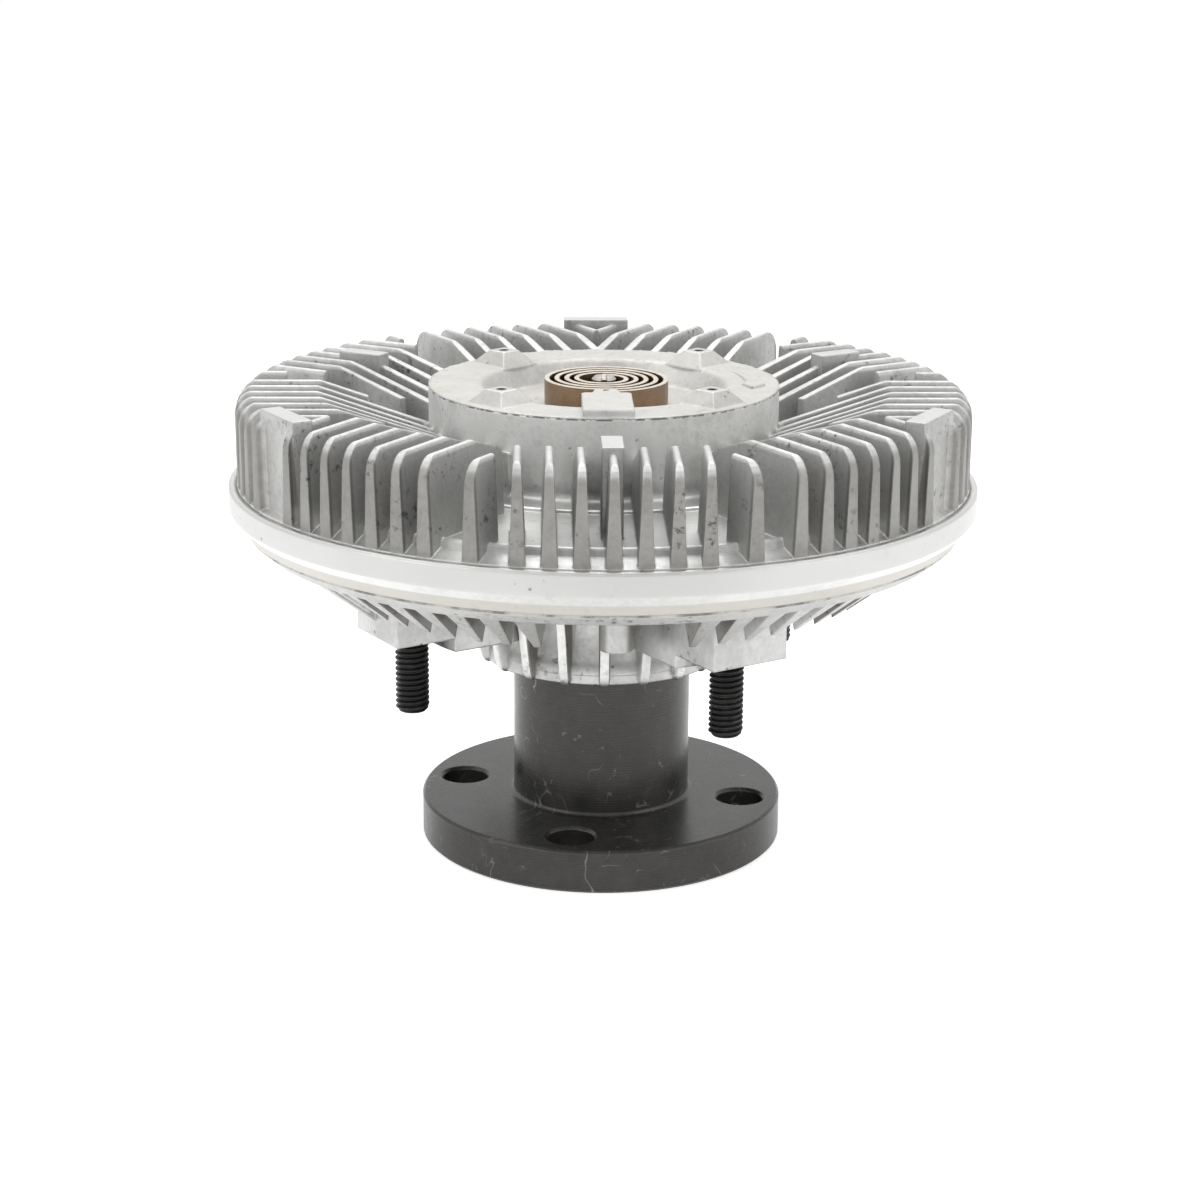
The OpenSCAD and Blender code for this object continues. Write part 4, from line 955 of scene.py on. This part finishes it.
class CLUTCH_OT_bearing(Operator):
    """Finish the bearing, its seals and the ring that keeps it"""

    bl_idname = "clutch.bearing"
    bl_label = "Bearing and Seals"

    def execute(self, context):
        coat(steel_material("Ground bearing steel", (0.58, 0.58, 0.59), 0.18, 0.30, 9000.0),
             "bearing_inner_ring", "bearing_outer_ring", "bearing_balls")
        coat(steel_material("Spring steel", (0.13, 0.13, 0.125), 0.35, 0.50, 5000.0),
             "bearing_retaining_ring")
        coat(rubber_material("Black rubber", (0.025, 0.025, 0.025)),
             "bearing_seal_rear", "bearing_seal_front", "cover_seal", "valve_shaft_seal")
        return {"FINISHED"}


class CLUTCH_OT_stage(Operator):
    """Set up the white floor, the soft lamps and the camera"""

    bl_idname = "clutch.stage"
    bl_label = "Stage"

    def lamp(self, name, place, power, width, depth):
        data = bpy.data.lights.new(name, "AREA")
        data.shape = "RECTANGLE"
        data.size, data.size_y, data.energy = width, depth, power
        lamp = new_object(name, data)
        lamp.location = place
        lamp.rotation_euler = (Vector(LAMP_AIM) - Vector(place)).to_track_quat("-Z", "Y").to_euler()

    def floor_material(self, settings):
        material, graph, shader = new_material("White floor", 0.0, settings.floor_colour)
        shader.inputs["Base Color"].default_value = (*settings.floor_colour, 1.0)
        shader.inputs["Roughness"].default_value = 0.9
        shader.inputs["Specular IOR Level"].default_value = 0.1
        seen, mirror = graph.rays()
        shader.inputs["Emission Color"].default_value = (1.0, 1.0, 1.0, 1.0)
        graph.put(shader.inputs["Emission Strength"],
                  graph.math("MULTIPLY_ADD", seen, 0.68, graph.times(mirror, 0.55)))
        return material

    def execute(self, context):
        settings = context.scene.clutch_studio
        count = 9
        side = np.linspace(-FLOOR_REACH, FLOOR_REACH, count)
        x, y = np.meshgrid(side, side, indexing="ij")
        i, j = np.meshgrid(np.arange(count - 1), np.arange(count - 1), indexing="ij")
        a = (i * count + j).ravel()
        mesh = bpy.data.meshes.new("floor")
        mesh.from_pydata(np.stack([x, y, np.zeros_like(x)], axis=-1).reshape(-1, 3).tolist(), [],
                         np.stack([a, a + count, a + count + 1, a + 1], axis=-1).tolist())
        mesh.materials.append(self.floor_material(settings))
        new_object("floor", mesh)

        world = bpy.data.worlds.new("White studio")
        context.scene.world = world
        world.use_nodes = True
        graph = Graph(world.node_tree)
        background = world.node_tree.nodes["Background"]
        background.inputs["Color"].default_value = (1.0, 1.0, 1.0, 1.0)
        seen, mirror = graph.rays()
        y, z = graph.parts(graph.add("TexCoord").outputs["Generated"])[1:]
        mirrored = graph.most(graph.ramp(y, -0.7, 0.4, 0.78, 1.0), graph.ramp(z, 0.35, 0.9, 0.0, 1.0))
        around = graph.blend(mirror, settings.ambient, mirrored)
        graph.put(background.inputs["Strength"], graph.blend(seen, around, 1.0))

        self.lamp("key_lamp", (-0.9, -0.5, 0.75), settings.key_power, 0.8, 0.8)
        self.lamp("fill_lamp", (0.95, -0.45, 0.6), settings.fill_power, 0.8, 0.8)
        self.lamp("top_lamp", (0.0, 0.45, 1.0), settings.top_power, 1.2, 0.8)

        data = bpy.data.cameras.new("Camera")
        data.sensor_width, data.lens = 36.0, settings.camera_lens
        data.clip_start, data.clip_end = 0.01, 50.0
        camera = new_object("Camera", data)
        turn = (Matrix.Rotation(settings.camera_yaw, 4, "Z")
                @ Matrix.Rotation(math.pi / 2 - settings.camera_pitch, 4, "X")
                @ Matrix.Rotation(settings.camera_roll, 4, "Z"))
        place = (0.0, -settings.camera_distance, settings.camera_height)
        camera.matrix_world = Matrix.Translation(place) @ turn
        context.scene.camera = camera
        context.scene.view_settings.view_transform = "Standard"
        return {"FINISHED"}


OPERATORS = (CLUTCH_OT_fan_studs, CLUTCH_OT_cast_marks, CLUTCH_OT_castings, CLUTCH_OT_shaft,
             CLUTCH_OT_thermostat, CLUTCH_OT_bearing, CLUTCH_OT_stage)


class CLUTCH_PT_panel(Panel):
    """Lists the steps and the settings"""

    bl_idname = "CLUTCH_PT_panel"
    bl_label = "Fan Clutch"
    bl_space_type = "VIEW_3D"
    bl_region_type = "UI"
    bl_category = "Fan Clutch"

    def draw(self, context):
        layout = self.layout
        for operator in OPERATORS:
            layout.operator(operator.bl_idname)
        for group in SETTINGS:
            box, settings = layout.box(), getattr(context.scene, group)
            for name in settings.__annotations__:
                box.prop(settings, name)


SETTINGS = {"clutch_detail": ClutchDetailSettings, "clutch_finish": ClutchFinishSettings,
            "clutch_studio": ClutchStudioSettings}
CLASSES = (*SETTINGS.values(), *OPERATORS, CLUTCH_PT_panel)


def register():
    for entry in CLASSES:
        bpy.utils.register_class(entry)
    for name, group in SETTINGS.items():
        setattr(bpy.types.Scene, name, PointerProperty(type=group))


def unregister():
    for name in SETTINGS:
        delattr(bpy.types.Scene, name)
    for entry in reversed(CLASSES):
        bpy.utils.unregister_class(entry)


def main():
    register()
    bpy.ops.clutch.fan_studs()
    bpy.ops.clutch.cast_marks()
    bpy.ops.clutch.castings()
    bpy.ops.clutch.shaft()
    bpy.ops.clutch.thermostat()
    bpy.ops.clutch.bearing()
    bpy.ops.clutch.stage()


if __name__ == "__main__":
    main()
